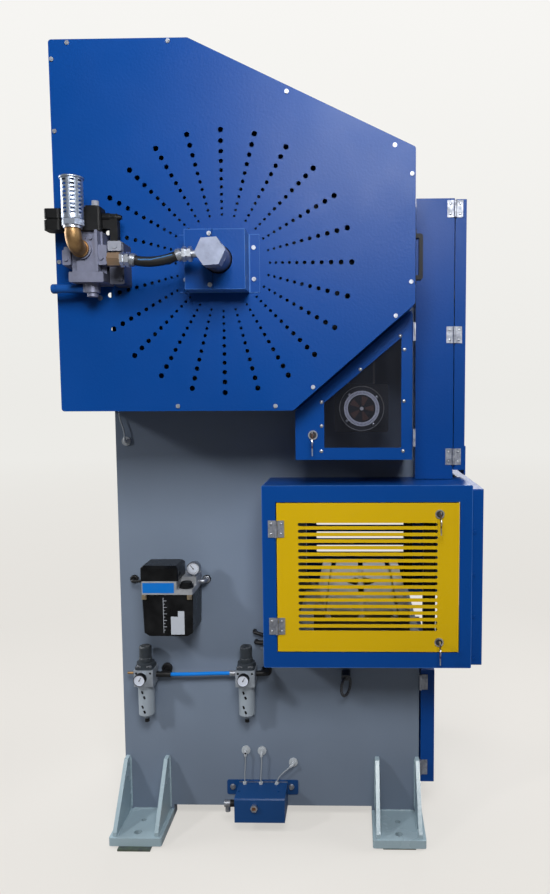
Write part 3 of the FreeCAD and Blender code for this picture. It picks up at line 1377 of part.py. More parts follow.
def die_guard_front():
    """Portal frame at the operator's side, folded from sheet, open between its columns."""
    thick = size("houseSheet")
    rear, front = size("boxFront") + 0.3, portalFront
    half = portalHalf
    low, high = size("portalBottom"), size("portalTop")
    column = size("portalColumn")
    sill, head = low + size("portalSill"), high - size("portalHead")
    opening = rectangle(-half + column, half - column, sill, head, 6)
    body = prism("Portal", "X", rectangle(-half, half, low, high, 4) + opening, rear, front)
    channel = rectangle(-half + thick, half - thick, low + thick, high - thick)
    inner = rectangle(-half + column - thick, half - column + thick, sill - thick, head + thick)
    pocket(body, "X", channel + inner, rear, front - thick)
    return node("die_guard_front", body)


def light_curtains():
    """Two posts of the light curtain, standing on the guard boxes' floors beside the opening."""
    solids = []
    base = size("boxBottom") + size("houseSheet")
    depth = size("postDepth")
    height = size("postHeight")
    inner = boxHalf - size("postGap") - depth
    for side in (-1, 1):
        y_low = min(side * inner, side * (inner + depth))
        post = Part.makeBox(size("postWidth"), depth, height, Vector(postX, y_low, base))
        window_y = inner if side > 0 else -inner - 5
        window = Part.makeBox(size("postWidth") - 20, 5, height - 50, Vector(postX + 10, window_y, base + 25))
        solids.append(post.cut(window))
    return node("light_curtains", group("LightCurtains", solids))


# ------------------------------------------------------------------ lubrication pump

def gauge_solid(x, y, z, radius, depth):
    """A round gauge facing the photographed side, with a recessed dial."""
    case = Part.makeCylinder(radius, depth, Vector(x, y, z), Vector(0, -1, 0))
    recess = Part.makeCylinder(radius - 2, 2, Vector(x, y - depth, z), Vector(0, 1, 0))
    return case.cut(recess)


def needle(label, x, y, z, length, angle):
    """A gauge hand on its hub, pointing at the angle from straight up."""
    hub = Part.makeCylinder(1.8, 1.4, Vector(x, y, z), Vector(0, -1, 0))
    hand = Part.makeBox(1.4, 0.5, length + 4, Vector(x - 0.7, y - 1.1, z - 4))
    hand.rotate(Vector(x, y, z), Vector(0, 1, 0), angle)
    holder = doc.addObject("Part::Feature", label.title().replace("_", ""))
    holder.Shape = hub.fuse(hand)
    return node(label, holder)


def lube_pump():
    """Oil pump: tapering tank, metal head with a lower shelf, bevelled cover, gauge and filler cap."""
    frame = frameFace
    face = frame - size("pumpDepth")
    left, right = size("pumpLeft"), size("pumpRight")
    low = size("tankLow")
    head_low, head_high = size("pumpHeadLow"), size("pumpHeadHigh")
    tank = prism("PumpTank", "Y", outline_geometry([
        (left, head_low), (left + 4, low + 10, 3), (left + 20, low, 6), (right - 20, low, 6),
        (right - 3, low + 10, 3), (right, head_low)]), face + 6, frame - 6)
    cover_top = head_high + size("coverRise")
    bevel = size("coverBevel")
    ends = (left - 3, left - 3 + size("coverLength"))
    plan = rectangle(*ends, face, face + 98, 5)
    inner = rectangle(ends[0] + bevel, ends[1] - bevel, face + bevel, face + 98 - bevel, 5)
    cover = prism("PumpCover", "Z", plan, head_high, cover_top - bevel)
    loft(cover, "Z", [(plan, cover_top - bevel), (inner, cover_top)])
    node("pump_housing", fuse("PumpHousing", [tank, cover]))
    head = prism("PumpHead", "Z", rectangle(left, right, face, frame, 4), head_low, head_high,
                 "pumpHeadHigh - pumpHeadLow")
    shelf = head_high - size("pumpShelf")
    pocket(head, "Z", rectangle(right - 48, right + 1, face - 1, face + 50), shelf, head_high)
    for x in (left + 7, right - 10):
        pad(head, "Y", rectangle(x - 7, x + 7, head_low - 15, head_low), face, face + 6)
        pad(head, "Y", circle(x, head_low - 8, 5), face - 3, face)
    gauge_x, gauge_z, gauge_y = right - 10, head_high + 25, face + 75
    pad(head, "Z", circle(gauge_x, gauge_y - 11, 6), head_high, gauge_z - size("pumpGauge") + 4)
    cap_x, cap_y = right - 24, face + 25
    pocket(head, "Z", circle(cap_x, cap_y, 15), shelf - 10, shelf)
    gauge = doc.addObject("Part::Feature", "PumpGauge")
    gauge.Shape = gauge_solid(gauge_x, gauge_y, gauge_z, size("pumpGauge"), 22)
    lip = cylinder("FillerLip", "Z", (cap_x, cap_y, shelf - 10), 12, 13)
    node("pump_head", fuse("PumpHeadAll", [head, gauge, lip]))
    needle("pump_needle", gauge_x, gauge_y - 20.3, gauge_z, 13, -40)
    cap = lathe("FillerCap", "Z", (cap_x, cap_y, shelf), [
        (12.3, 0.3), (21, 0.3), (21, 9), (17, 10), (17, 16), (14, 18), (0, 18), (0, 3.4), (12.3, 3.4)])
    node("filler_cap", cap)


# ------------------------------------------------------------------ filter-regulators

gaugeZ = size("regBlockHigh") - 15


def regulator_unit(x):
    """Die-cast block on a wall bracket: flange with screws, bonnet, screw holes, gauge and bowl collar."""
    axis = regAxis
    half = size("regWidth") / 2
    low, high = size("regBlockLow"), size("regBlockHigh")
    front = axis - 30
    block = Part.makeBox(2 * half, 56, high - low, Vector(x - half, front, low))
    flange = slab(rectangle(x - 28, x + 28, axis - 28, axis + 28, 10), high, high + 8)
    bonnet = Part.makeCylinder(27, 19, Vector(x, axis, high), Vector(0, 0, 1))
    neck = Part.makeCylinder(15, 15, Vector(x, axis, high + 19), Vector(0, 0, 1))
    bracket = Part.makeBox(46, size("regOut") - 24, 34, Vector(x - 23, axis + 24, low + 10))
    collar = Part.makeCylinder(size("bowlRadius") + 3, 8, Vector(x, axis, low - 8), Vector(0, 0, 1))
    stem = Part.makeCylinder(7, 24, Vector(x, front, gaugeZ), Vector(0, -1, 0))
    gauge = gauge_solid(x, front - 24, gaugeZ, size("regGauge"), 18)
    heads = [Part.makeCylinder(4, 11, Vector(x + side * 21, axis - 21, high)) for side in (-1, 1)]
    holes = [Part.makeCylinder(3.5, 6, Vector(x + side * 22, front, high - 9), Vector(0, 1, 0))
             for side in (-1, 1)]
    unit = block.fuse([flange, bonnet, neck, bracket, collar, stem, gauge, *heads]).cut(holes)
    return unit.removeSplitter()


def bowl_unit(x):
    """Filter bowl in its metal guard with slanted oval windows, and a drain at the bottom."""
    axis = regAxis
    radius = size("bowlRadius")
    low = size("bowlLow")
    top = size("regBlockLow") - 8.3
    bowl = Part.makeCylinder(radius, top - low - 8, Vector(x, axis, low + 8))
    base = Part.makeCone(radius - 8, radius, 8, Vector(x, axis, low))
    stem = Part.makeCylinder(4, 10, Vector(x, axis, low - 9))
    drain = Part.makeCylinder(7, 12, Vector(x, axis, low - 20))
    windows = []
    for height, offset in ((84, -15), (68, 0), (37, -15), (21, 0)):
        for turn in (offset, offset + 180):
            window = slab(rectangle(-3.4, 3.4, -5.5, 5.5, 3.3), radius - 3, radius + 4)
            window.rotate(Vector(0, 0, 0), Vector(0, 0, 1), 24)
            window.rotate(Vector(0, 0, 0), Vector(1, 0, 0), 90)
            window.rotate(Vector(0, 0, 0), Vector(0, 0, 1), turn)
            windows.append(window.translated(Vector(x, axis, low + height)))
    return bowl.fuse([base, stem, drain]).cut(windows).removeSplitter()


def regulator_knob(label, x):
    """Hand wheel of a regulator: ribbed grip over the bonnet's neck."""
    radius = size("knobRadius")
    low = size("regBlockHigh") + 19.4
    high = size("knobHigh")
    knob = lathe(label.title().replace("_", ""), "Z", (x, regAxis, 0), [
        (15.3, low), (radius, low), (radius, low + 12), (radius - 1.5, low + 14), (radius - 1, high - 4),
        (radius - 4, high), (0, high), (0, low + 15.4), (15.3, low + 15.4)])
    return node(label, knob)


def regulators():
    places = {"rear": size("regRearX"), "front": size("regFrontX")}
    node("regulator_bodies", group("RegulatorBodies", [regulator_unit(x) for x in places.values()]))
    node("filter_bowls", group("FilterBowls", [bowl_unit(x) for x in places.values()]))
    for place, x in places.items():
        regulator_knob("knob_" + place, x)
        needle("needle_" + place, x, regAxis - 70.3, gaugeZ, 11, 30)


# ------------------------------------------------------------------ tubes, fittings and oil box

tubeY = regAxis + 12
rearPort = size("regRearX") + size("regWidth") / 2 + 46
frontPort = size("regFrontX") - size("regWidth") / 2 - 24


def air_tube():
    """Blue air tube between the two units: nearly straight, with a slight bow and rise."""
    span = frontPort - rearPort
    low, high = size("tubeLow"), size("tubeHigh")
    stations = [(0, 0, 0), (0.21, 0, 0), (0.5, 1, 0.5), (0.79, 0, 1), (1, 0, 1)]
    route = [(rearPort + share * span, tubeY - bow, low + rise * (high - low))
             for share, bow, rise in stations]
    tube = doc.addObject("Part::Feature", "AirTube")
    tube.Shape = tube_solid(route, 6)
    return node("air_tube", tube)


def oil_box():
    """Collecting box for used oil on an eared back plate: bolts, lid screws, hex plug and side fitting."""
    frame = frameFace
    left, right = size("oilLeft"), size("oilRight")
    low, high = size("oilLow"), size("oilHigh")
    front = frame - size("oilDepth")
    plate = frame - 3
    body = prism("OilBox", "X", outline_geometry([
        (plate, low), (front, low), (front, high - 4), (front + 3, high), (plate, high)]), left, right)
    pocket(body, "X", rectangle(front + 3, plate, low + 3, high - 3), left + 3, right - 3)
    pad(body, "Y", rectangle(left - 40, right + 34, high - 44, high + 4, 6), plate, frame)
    for x in (left - 21, right + 12):
        pad(body, "Y", circle(x, high - 18, 9), plate - 1.5, plate)
        pad(body, "Y", hexagon(x, high - 18, 13), plate - 7, plate - 1.5)
    for x in (left + 7, right - 25.5):
        pad(body, "Z", circle(x, front + 44, 4), high - 1, high + 2)
    plug_x, plug_z = right - 94.6, high - 27
    pad(body, "Y", hexagon(plug_x, plug_z, 20), front - 10, front)
    pocket(body, "Y", circle(plug_x, plug_z, 5), front - 10, front - 6)
    pad(body, "X", circle(front + 44, high - 40.5, 10.5), left - 38, left)
    pad(body, "Z", circle(left - 28, front + 44, 8), high - 66, high - 42)
    return node("oil_box", body)


STRAIGHT_DRAINS = [((-84, 233), -87), ((-32, 231), -35)]
SLANTED_DRAIN = [(60, 185), (48, 174), (32, 161), (21, 147.5), (17, 134)]
UPPER_DRAIN = [(-443, 1246), (-443, 1268), (-458, 1306), (-458, 1331)]
DRAIN_RADIUS = 2
DRAIN_OUT = 18
PORT_RISE = 6


def oil_tubes():
    """Clear thin drain tubes: three from discs into the oil box, one upwards at the upper left."""
    off = frameFace - DRAIN_OUT
    top = size("oilHigh") + PORT_RISE
    routes = [[(x, z - 12), (x, z - 42), (port, top + 28), (port, top)] for (x, z), port in STRAIGHT_DRAINS]
    routes += [SLANTED_DRAIN, UPPER_DRAIN]
    solids = [tube_solid([(x, off, z) for x, z in route], DRAIN_RADIUS) for route in routes]
    return node("oil_tubes", group("OilTubes", solids))


def elbow(points, radius):
    """A round pipe: straight legs with a quarter bend at each square corner."""
    corners = [Vector(*point) for point in points]
    bend = radius + 1.5
    solids = []
    start = corners[0]
    for before, corner, after in zip(corners, corners[1:], corners[2:]):
        back = (before - corner).normalize()
        ahead = (after - corner).normalize()
        enter = corner + back * bend
        solids.append(Part.makeCylinder(radius, (enter - start).Length, start, back * -1))
        mouth = Part.Face(Part.Wire(Part.makeCircle(radius, enter, back)))
        solids.append(mouth.revolve(enter + ahead * bend, ahead.cross(back), 90))
        start = corner + ahead * bend
    last = corners[-1] - start
    solids.append(Part.makeCylinder(radius, last.Length, start, last))
    return solids[0].fuse(solids[1:]) if solids[1:] else solids[0]


def drain_disc(x, z, end):
    """Bulkhead disc with its stub and the push-in socket that holds a tube's end."""
    frame = frameFace
    away = Vector(0, -1, 0)
    disc = Part.makeCylinder(14, 5, Vector(x, frame, z), away)
    boss = Part.makeCylinder(9, 8, Vector(x, frame, z), away)
    socket = elbow([(x, frame, z), (x, frame - DRAIN_OUT, z), (end[0], frame - DRAIN_OUT, end[1])], 4.5)
    return disc.fuse([boss, socket])


def grommet(x, z, radius):
    rim = Part.makeCylinder(radius, 6, Vector(x, frameFace, z), Vector(0, -1, 0))
    return rim.fuse(Part.makeTorus(radius - 4, 3, Vector(x, frameFace - 6, z), Vector(0, 1, 0)))


def tube_fittings():
    """Pale bulkhead discs, grommets, elbows and stubs where tubes meet the frame or a unit."""
    frame = frameFace
    solids = [drain_disc(x, z, (x, z - 12)) for (x, z), _ in STRAIGHT_DRAINS]
    solids.append(drain_disc(68.6, 193, SLANTED_DRAIN[0]))
    solids.append(drain_disc(-443, 1234, UPPER_DRAIN[0]))
    last = Vector(SLANTED_DRAIN[-1][0], 0, SLANTED_DRAIN[-1][1])
    slant = last - Vector(SLANTED_DRAIN[-2][0], 0, SLANTED_DRAIN[-2][1])
    ports = [(drain[1], Vector(0, 0, -1)) for drain in STRAIGHT_DRAINS] + [(last.x, slant)]
    for port_x, heading in ports:
        mouth = Vector(port_x, frame - DRAIN_OUT, size("oilHigh") + PORT_RISE)
        above = Part.makeBox(60, 60, 20, mouth - Vector(30, 30, PORT_RISE))
        solids.append(Part.makeCylinder(6, PORT_RISE + 3, mouth, heading).common(above))
    half = size("regWidth") / 2
    rear, front = size("regRearX"), size("regFrontX")
    low, high = size("tubeLow"), size("tubeHigh")
    grommet_x = rear + 58
    rear_run = elbow([(rear + half, tubeY, low), (rearPort, tubeY, low)], 9)
    branch = elbow([(grommet_x, frame, low + 4), (grommet_x, tubeY, low + 4)], 8)
    rear_run = rear_run.fuse([branch, grommet(grommet_x, low + 11, 17)])
    front_run = elbow([(front + half, tubeY, high), (front + 59, tubeY, high), (front + 59, frame, high)], 9)
    front_run = front_run.fuse(grommet(front + 59, high, 17))
    inlet = elbow([(rear - half, tubeY, high), (rear - half - 12, tubeY, high)], 9)
    inlet = inlet.fuse(elbow([(rear - half - 12, tubeY, high), (rear - half - 32, tubeY, high)], 4))
    outlet = elbow([(frontPort, tubeY, high), (front - half, tubeY, high)], 9)
    wall = size("boxRear")
    wire_y = frame - 16
    lower = elbow([(wall - 49, frame, 594), (wall - 49, wire_y, 594), (wall, wire_y, 594)], 7)
    upper = elbow([(wall - 54, frame, 628), (wall - 54, wire_y, 628), (wall - 4, wire_y, 612)], 6)
    upper = upper.fuse(elbow([(wall - 8, wire_y, 612), (wall, wire_y, 612)], 8))
    solids += [rear_run, front_run, inlet, outlet, lower, upper]
    left, right = size("pumpLeft"), size("pumpRight")
    line = size("pumpHeadLow") + 15
    cable_y = frame - 30
    cable = elbow([(left - 60, frame, line), (left - 60, cable_y, line), (left, cable_y, line)], 4)
    stub = elbow([(right, cable_y, line), (right + 16, cable_y, line), (right + 16, frame, line)], 7)
    solids += [cable.fuse(grommet(left - 60, line, 13)), stub.fuse(grommet(right + 16, line, 13))]
    eye_x, eye_z = 240, 462
    outline = rectangle(eye_x - 14, eye_x + 14, eye_z + 22, eye_z + 39, 6)
    stud = prism("EyeStud", "Y", outline, frame - 46, frame)
    normal = Vector(math.sin(math.radians(63)), -math.cos(math.radians(63)), 0)
    solids.append(built(stud).fuse(Part.makeTorus(30, 4.5, Vector(eye_x, frame - 36, eye_z), normal)))
    return node("tube_fittings", group("TubeFittings", solids))


# ------------------------------------------------------------------ assembly

near_side = side_plate(-1)
node("side_plate_right", side_plate(1))
bed_plate()
rear_crown_plates()
foot_shims()
bolster()
slide()
slide_gibs()
connecting_rod()
crank_pin()
crankshaft()
main_gear()
pinion_shaft()
flywheel()
clutch_unit()
motor_pulley()
v_belts()
motor()
flywheel_guard()
guard_face()
guard_screws()
node("union_covers", fuse("UnionCovers", [union_cover("left"), union_cover("right")]))
rotary_union()
valve_body()
valve_pilot()
valve_silencer()
pipe_fittings()
union_hose()
guard_handle()
window_group()
cam_lock("WindowLock", "window_lock", size("windowLockX"), houseFace, size("windowLockZ"), (-8, 42), 26)
dial_housing()
dial_pointer()
dial_chain()
front_cabinet()
node("side_plate_left", fuse("SidePlateLeftAll", [near_side, *lower_front_door()]))
die_guards()
die_guard_front()
cam_lock("DoorLockUpper", "door_lock_upper", lockX, -boxHalf, lockHigh, (-64, 8), 16.4)
cam_lock("DoorLockLower", "door_lock_lower", lockX, -boxHalf, lockLow, (-8, 64), 16.4)
light_curtains()
lube_pump()
regulators()
air_tube()
oil_box()
oil_tubes()
tube_fittings()

doc.recompute()

for item in doc.Objects:
    if "Invalid" in item.State or "Error" in item.State:
        raise RuntimeError(f"{item.Label} did not build: {item.State}")
os.makedirs("parts", exist_ok=True)
for item in nodes:
    shape = item.Shape
    if shape.isNull() or not shape.isValid() or not shape.Solids:
        raise RuntimeError(f"{item.Label} has no valid solid")
    shape.exportStep(f"parts/{item.Label}.step")
print("nodes", len(nodes))
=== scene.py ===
# Mechanical stamping press: camera, finishes, tubes, trim, floor and light.
from math import cos, pi, radians, sin

import bpy
import numpy as np
from mathutils import Matrix, Vector


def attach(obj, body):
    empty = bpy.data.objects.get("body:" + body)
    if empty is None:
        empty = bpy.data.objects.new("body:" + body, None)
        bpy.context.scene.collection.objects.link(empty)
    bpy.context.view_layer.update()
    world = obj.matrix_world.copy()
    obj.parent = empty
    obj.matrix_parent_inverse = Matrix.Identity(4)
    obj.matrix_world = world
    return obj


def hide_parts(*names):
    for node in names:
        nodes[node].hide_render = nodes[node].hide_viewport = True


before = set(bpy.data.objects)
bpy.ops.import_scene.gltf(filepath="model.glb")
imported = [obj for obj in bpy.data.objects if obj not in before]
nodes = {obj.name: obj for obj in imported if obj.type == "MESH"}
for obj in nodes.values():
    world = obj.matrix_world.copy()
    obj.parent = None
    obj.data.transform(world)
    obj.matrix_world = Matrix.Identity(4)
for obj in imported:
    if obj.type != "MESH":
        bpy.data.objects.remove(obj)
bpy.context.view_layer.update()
scene = bpy.context.scene
print("frame loaded:", len(nodes), "nodes")


def tone(red, green, blue):
    # a colour as seen on screen, 0 to 255, made linear for the shaders
    parts = [value / 255 for value in (red, green, blue)]
    return tuple(((c + 0.055) / 1.055) ** 2.4 if c > 0.04 else c / 12.92 for c in parts) + (1.0,)


view = dict(
    place=(0.2718, -2.440, 1.3771),
    yaw=-1.21, pitch=4.78, roll=-0.26,   # degrees: to the left, down, over
    focal=700.0,                          # pixels
    centre=(340.6, 452.8),                # where the axis meets the picture
    picture=(550, 894),
    sensor=36, reach=60,                  # millimetres, metres
)


def placeCamera():
    # the camera looks along +Y, turned by yaw about Z, tipped down by pitch, then rolled on its axis
    yaw, pitch, roll = (radians(view[k]) for k in ("yaw", "pitch", "roll"))
    level = Vector((sin(yaw), cos(yaw), 0))
    right = Vector((cos(yaw), -sin(yaw), 0))
    up = Vector((0, 0, 1))
    ahead = level * cos(pitch) - up * sin(pitch)
    above = up * cos(pitch) + level * sin(pitch)
    side = right * cos(roll) + above * sin(roll)
    head = above * cos(roll) - right * sin(roll)
    lens = bpy.data.cameras.new("photoView")
    wide, tall = view["picture"]
    lens.sensor_width = view["sensor"]
    lens.lens = view["focal"] * view["sensor"] / tall
    lens.shift_x = -(view["centre"][0] - wide / 2) / tall
    lens.shift_y = (view["centre"][1] - tall / 2) / tall
    lens.clip_end = view["reach"]
    camera = bpy.data.objects.new("photoView", lens)
    turn = Matrix((side, head, -ahead)).transposed().to_4x4()
    camera.matrix_world = Matrix.Translation(view["place"]) @ turn
    scene.collection.objects.link(camera)
    scene.camera = camera


placeCamera()
print("camera placed")


class Wire:
    # a socket of a finish; sums and comparisons of wires and numbers add their Math nodes,
    # and | takes the greater of two masks
    def __init__(self, finish, socket):
        self.finish = finish
        self.socket = socket

    def __add__(self, other):
        return self.finish.reckon("ADD", self, other)

    def __radd__(self, other):
        return self.finish.reckon("ADD", other, self)

    def __sub__(self, other):
        return self.finish.reckon("SUBTRACT", self, other)

    def __rsub__(self, other):
        return self.finish.reckon("SUBTRACT", other, self)

    def __mul__(self, other):
        return self.finish.reckon("MULTIPLY", self, other)

    def __rmul__(self, other):
        return self.finish.reckon("MULTIPLY", other, self)

    def __gt__(self, other):
        return self.finish.reckon("GREATER_THAN", self, other)

    def __lt__(self, other):
        return self.finish.reckon("LESS_THAN", self, other)

    def __or__(self, other):
        return self.finish.reckon("MAXIMUM", self, other)

    def __abs__(self):
        return self.finish.reckon("ABSOLUTE", self)

    def __pow__(self, other):
        return self.finish.reckon("POWER", self, other)


class Finish:
    # one material or world; add makes any node from its type, its settings and its sockets
    def __init__(self, name, world=False):
        self.owner = (bpy.data.worlds if world else bpy.data.materials).new(name)
        self.output = "ShaderNodeOutputWorld" if world else "ShaderNodeOutputMaterial"
        self.owner.use_nodes = True
        self.tree = self.owner.node_tree
        self.tree.nodes.clear()
        self.spot = self.add("ShaderNodeTexCoord", out=0 if world else 3)
        self.x, self.y, self.z = (
            self.add("ShaderNodeSeparateXYZ", {}, {0: self.spot}, out=k) for k in range(3))

    def add(self, kind, settings=None, sockets=None, out=0):
        # a new node: its settings first, then each socket linked to a wire or set to a value
        node = self.tree.nodes.new(kind)
        for key, value in (settings or {}).items():
            setattr(node, key, value)
        for key, value in (sockets or {}).items():
            if isinstance(value, Wire):
                self.tree.links.new(value.socket, node.inputs[key])
            else:
                node.inputs[key].default_value = value
        return Wire(self, node.outputs[out])

    def reckon(self, operation, first, second=0.0):
        # a Math node: the operation on the first value and the second
        return self.add("ShaderNodeMath", dict(operation=operation), {0: first, 1: second})

    def noise(self, scale, detail=3.0, rough=0.5, stretch=None):
        # cloudy pattern, scale in turns a metre; stretch squeezes it along the three axes
        place = self.spot
        if stretch:
            place = self.add("ShaderNodeMapping", {}, {"Vector": self.spot, "Scale": stretch})
        return self.add("ShaderNodeTexNoise", {},
                        {"Vector": place, "Scale": scale, "Detail": detail, "Roughness": rough})

    def cells(self, scale):
        # distance to the nearest of scattered points, scale in points a metre
        return self.add("ShaderNodeTexVoronoi", dict(feature="F1"), {"Vector": self.spot, "Scale": scale})

    def fade(self, value, low, high, bottom=0.0, top=1.0):
        # straight ramp from bottom to top while the value goes from low to high
        return self.add("ShaderNodeMapRange", {}, {0: value, 1: low, 2: high, 3: bottom, 4: top})

    def blend(self, share, first, second):
        # the first colour where the share is 0, the second where it is 1, a mix between
        return self.add("ShaderNodeMix", dict(data_type="RGBA"), {0: share, 6: first, 7: second}, out=2)

    def bump(self, height, depth):
        # a surface that looks raised by height times depth, depth in metres
        return self.add("ShaderNodeBump", {}, {"Height": height, "Distance": depth, "Strength": 1.0})

    def surface(self, **sockets):
        # a Principled surface; keys are its socket names with capitals for spaces
        named = {"".join(" " + c if c.isupper() else c for c in key).title().replace("Ior", "IOR"): value
                 for key, value in sockets.items()}
        return self.add("ShaderNodeBsdfPrincipled", {}, named)

    def over(self, mask, below, above):
        # the upper shader where the mask is 1, the lower one where it is 0
        return self.add("ShaderNodeMixShader", {}, {0: mask, 1: below, 2: above})

    def within(self, low, high):
        # 1 inside the box between two corners in millimetres, 0 outside
        inside = None
        for value, a, b in zip((self.x, self.y, self.z), low, high):
            part = abs(value - (a + b) / 2000) < abs(b - a) / 2000
            inside = part if inside is None else inside * part
        return inside

    def withinAny(self, boxes):
        # 1 inside any of the boxes, each given by two corners
        found = None
        for low, high in boxes:
            part = self.within(low, high)
            found = part if found is None else found | part
        return found

    def edgesOf(self, low, high, wide):
        # 1 on the outline of an upright rectangle, given by two corners (x, z) in millimetres
        found = None
        for value, a, b in ((self.x, low[0], high[0]), (self.z, low[1], high[1])):
            for at in (a, b):
                part = abs(value - at / 1000) < wide / 1000
                found = part if found is None else found | part
        return found

    def turnAbout(self, x, z, count):
        # how far round an axis along Y a point lies, counted in strokes, 0 to 1 within each stroke
        angle = self.reckon("ARCTAN2", self.x - x / 1000, self.z - z / 1000)
        return self.reckon("FRACT", angle * (count / (2 * pi)))

    def farFrom(self, x, z):
        # distance in millimetres from an axis along Y
        across, up = self.x - x / 1000, self.z - z / 1000
        return (across * across + up * up) ** 0.5 * 1000

    def round(self, across, centre, radius):
        # 1 within a radius (mm) of a line that runs along one axis through the centre (mm)
        parts = [(value - at / 1000) for value, at in zip(
            [v for k, v in enumerate((self.x, self.y, self.z)) if k != across], centre)]
        return (parts[0] * parts[0] + parts[1] * parts[1]) < (radius / 1000) ** 2

    def close(self, shader):
        # links the shader to the output and gives the finished material or world
        end = self.tree.nodes.new(self.output)
        self.tree.links.new(shader.socket, end.inputs["Surface"])
        return self.owner


def paintCoat(f, colour, shade, rough=0.34, peel=0.00016, sheen=0.15, lines=None, dirt=0.006):
    # sprayed enamel: slow shift between two tones, orange peel at a few millimetres, dust in the pores, and
    # painted highlight lines where a mask gives them
    cloud = f.noise(1.7, 4.0)
    speck = f.noise(420.0, 2.0)
    grain = f.noise(150.0, 2.0, 0.45)
    base = f.blend(f.fade(cloud, 0.35, 0.65), colour, shade)
    base = f.blend(f.fade(speck, 0.55, 0.75, 0.0, dirt), base, tone(150, 165, 190))
    # painted highlight: where a mask gives lines, a lighter blue stands in for light caught along folded
    # sheet edges
    if lines:
        base = f.blend(lines(f) * 0.5, base, tone(84, 130, 196))
    return f.surface(baseColor=base, roughness=rough + 0.16 * f.noise(9.0, 3.0) - 0.08,
                     specularIorLevel=sheen, normal=f.bump(grain, peel))


def plating(f, colour=tone(196, 199, 205), rough=0.30):
    # bright zinc: mottled tone, faint drag lines
    spots = f.noise(60.0, 4.0, 0.6)
    base = f.blend(f.fade(spots, 0.35, 0.65, 0.0, 0.7), colour, tone(104, 108, 118))
    lines = f.noise(300.0, 2.0, 0.5, (1.0, 1.0, 0.12))
    return f.surface(baseColor=base, metallic=0.92, roughness=rough + 0.2 * f.fade(spots, 0.3, 0.7),
                     normal=f.bump(lines, 0.00005))


def groundSteel(f, colour=tone(176, 178, 182), along=(0.06, 1.0, 1.0)):
    # ground or turned steel: fine lines along the cut, an oil film that comes and goes
    lines = f.noise(900.0, 2.0, 0.5, along)
    film = f.noise(7.0, 4.0)
    base = f.blend(f.fade(film, 0.4, 0.7), colour, tone(128, 124, 118))
    return f.surface(baseColor=base, metallic=1.0, roughness=0.24 + 0.22 * lines + 0.1 * film,
                     normal=f.bump(lines, 0.00004))


def castIron(f, colour=tone(74, 76, 80)):
    # sand-cast iron under thin primer: pitted skin, darker in the pits
    pits = f.cells(260.0)
    sand = f.noise(190.0, 4.0, 0.6)
    base = f.blend(f.fade(sand, 0.35, 0.7), tone(44, 45, 48), colour)
    return f.surface(baseColor=base, metallic=0.45, roughness=0.55 + 0.2 * sand,
                     normal=f.bump(sand + 0.3 * pits, 0.0004))


def mouldedPlastic(f, colour, rough=0.42, grain=0.00008):
    # moulded plastic: fine spark-eroded grain, slight rubbing marks
    skin = f.noise(520.0, 2.0)
    rub = f.noise(22.0, 5.0, 0.6)
    base = f.blend(f.fade(rub, 0.45, 0.75, 0.0, 0.04), colour, tone(120, 122, 126))
    return f.surface(baseColor=base, roughness=rough + 0.18 * rub, specularIorLevel=0.2,
                     normal=f.bump(skin, grain))


def softRubber(f):
    # black rubber: cloudy skin, greyer where it is rubbed
    skin = f.noise(260.0, 4.0)
    base = f.blend(f.fade(f.noise(18.0), 0.4, 0.7, 0.0, 0.2), tone(15, 16, 18), tone(44, 45, 48))
    return f.surface(baseColor=base, roughness=0.38 + 0.2 * skin, specularIorLevel=0.4,
                     normal=f.bump(skin, 0.0001))


def castAlloy(f, colour):
    # die-cast alloy: soft metallic skin with flow marks
    flow = f.noise(34.0, 5.0, 0.6)
    base = f.blend(f.fade(flow, 0.35, 0.7, 0.0, 0.4), colour, tone(78, 82, 94))
    return f.surface(baseColor=base, metallic=0.5, roughness=0.42 + 0.15 * flow,
                     normal=f.bump(f.noise(240.0, 3.0), 0.00016))


def brassMetal(f):
    # worn brass: two tones that come and go in stains
    stain = f.noise(45.0, 4.0)
    base = f.blend(f.fade(stain, 0.35, 0.7), tone(176, 142, 98), tone(128, 98, 66))
    return f.surface(baseColor=base, metallic=0.9, roughness=0.36 + 0.2 * stain,
                     normal=f.bump(f.noise(300.0), 0.00006))


def clearSheet(f, tint, share):
    # clear sheet: lets light through and mirrors a little more at the rim of view
    smear = f.noise(16.0, 4.0, 0.6, (1.0, 1.0, 0.35))
    gloss = f.surface(baseColor=tone(84, 88, 100), roughness=0.06 + 0.10 * smear)
    passing = f.add("ShaderNodeBsdfTransparent", {}, {0: tint})
    rim = f.add("ShaderNodeFresnel", {}, {"IOR": 1.45})
    return f.over(rim * 0.55 + share * 2.0 * smear, passing, gloss)


blueCoat = (tone(3, 64, 138), tone(2, 59, 129))
greyCoat = (tone(116, 129, 147), tone(107, 119, 136))
footCoat = (tone(164, 185, 195), tone(148, 167, 176))
yellowCoat = (tone(203, 167, 2), tone(195, 160, 2))


def bluePaint(f, lines=None):
    # blue enamel, with painted highlight lines, a lighter blue where a mask gives them
    return paintCoat(f, *blueCoat, rough=0.36, peel=0.0003, lines=lines)


def dress(node, make):
    # gives a CAD node's slots the finish that a maker function builds
    f = Finish(node + "Finish")
    material = f.close(make(f))
    for place in nodes[node].material_slots:
        place.material = material


def mixed(base, *layers):
    # a finish with others laid over it where their masks say
    def make(f):
        shader = base(f)
        for mask, layer in layers:
            shader = f.over(mask(f), shader, layer(f))
        return shader
    return make


def boxes(*corners):
    # mask of the boxes between pairs of corners, in millimetres
    return lambda f: f.withinAny(corners)


def discAt(centre, radius, front):
    # mask of a disc about an axis along Y, radius in millimetres, in front of a plane y in metres
    return lambda f: (f.farFrom(*centre) < radius) * (f.y < front)


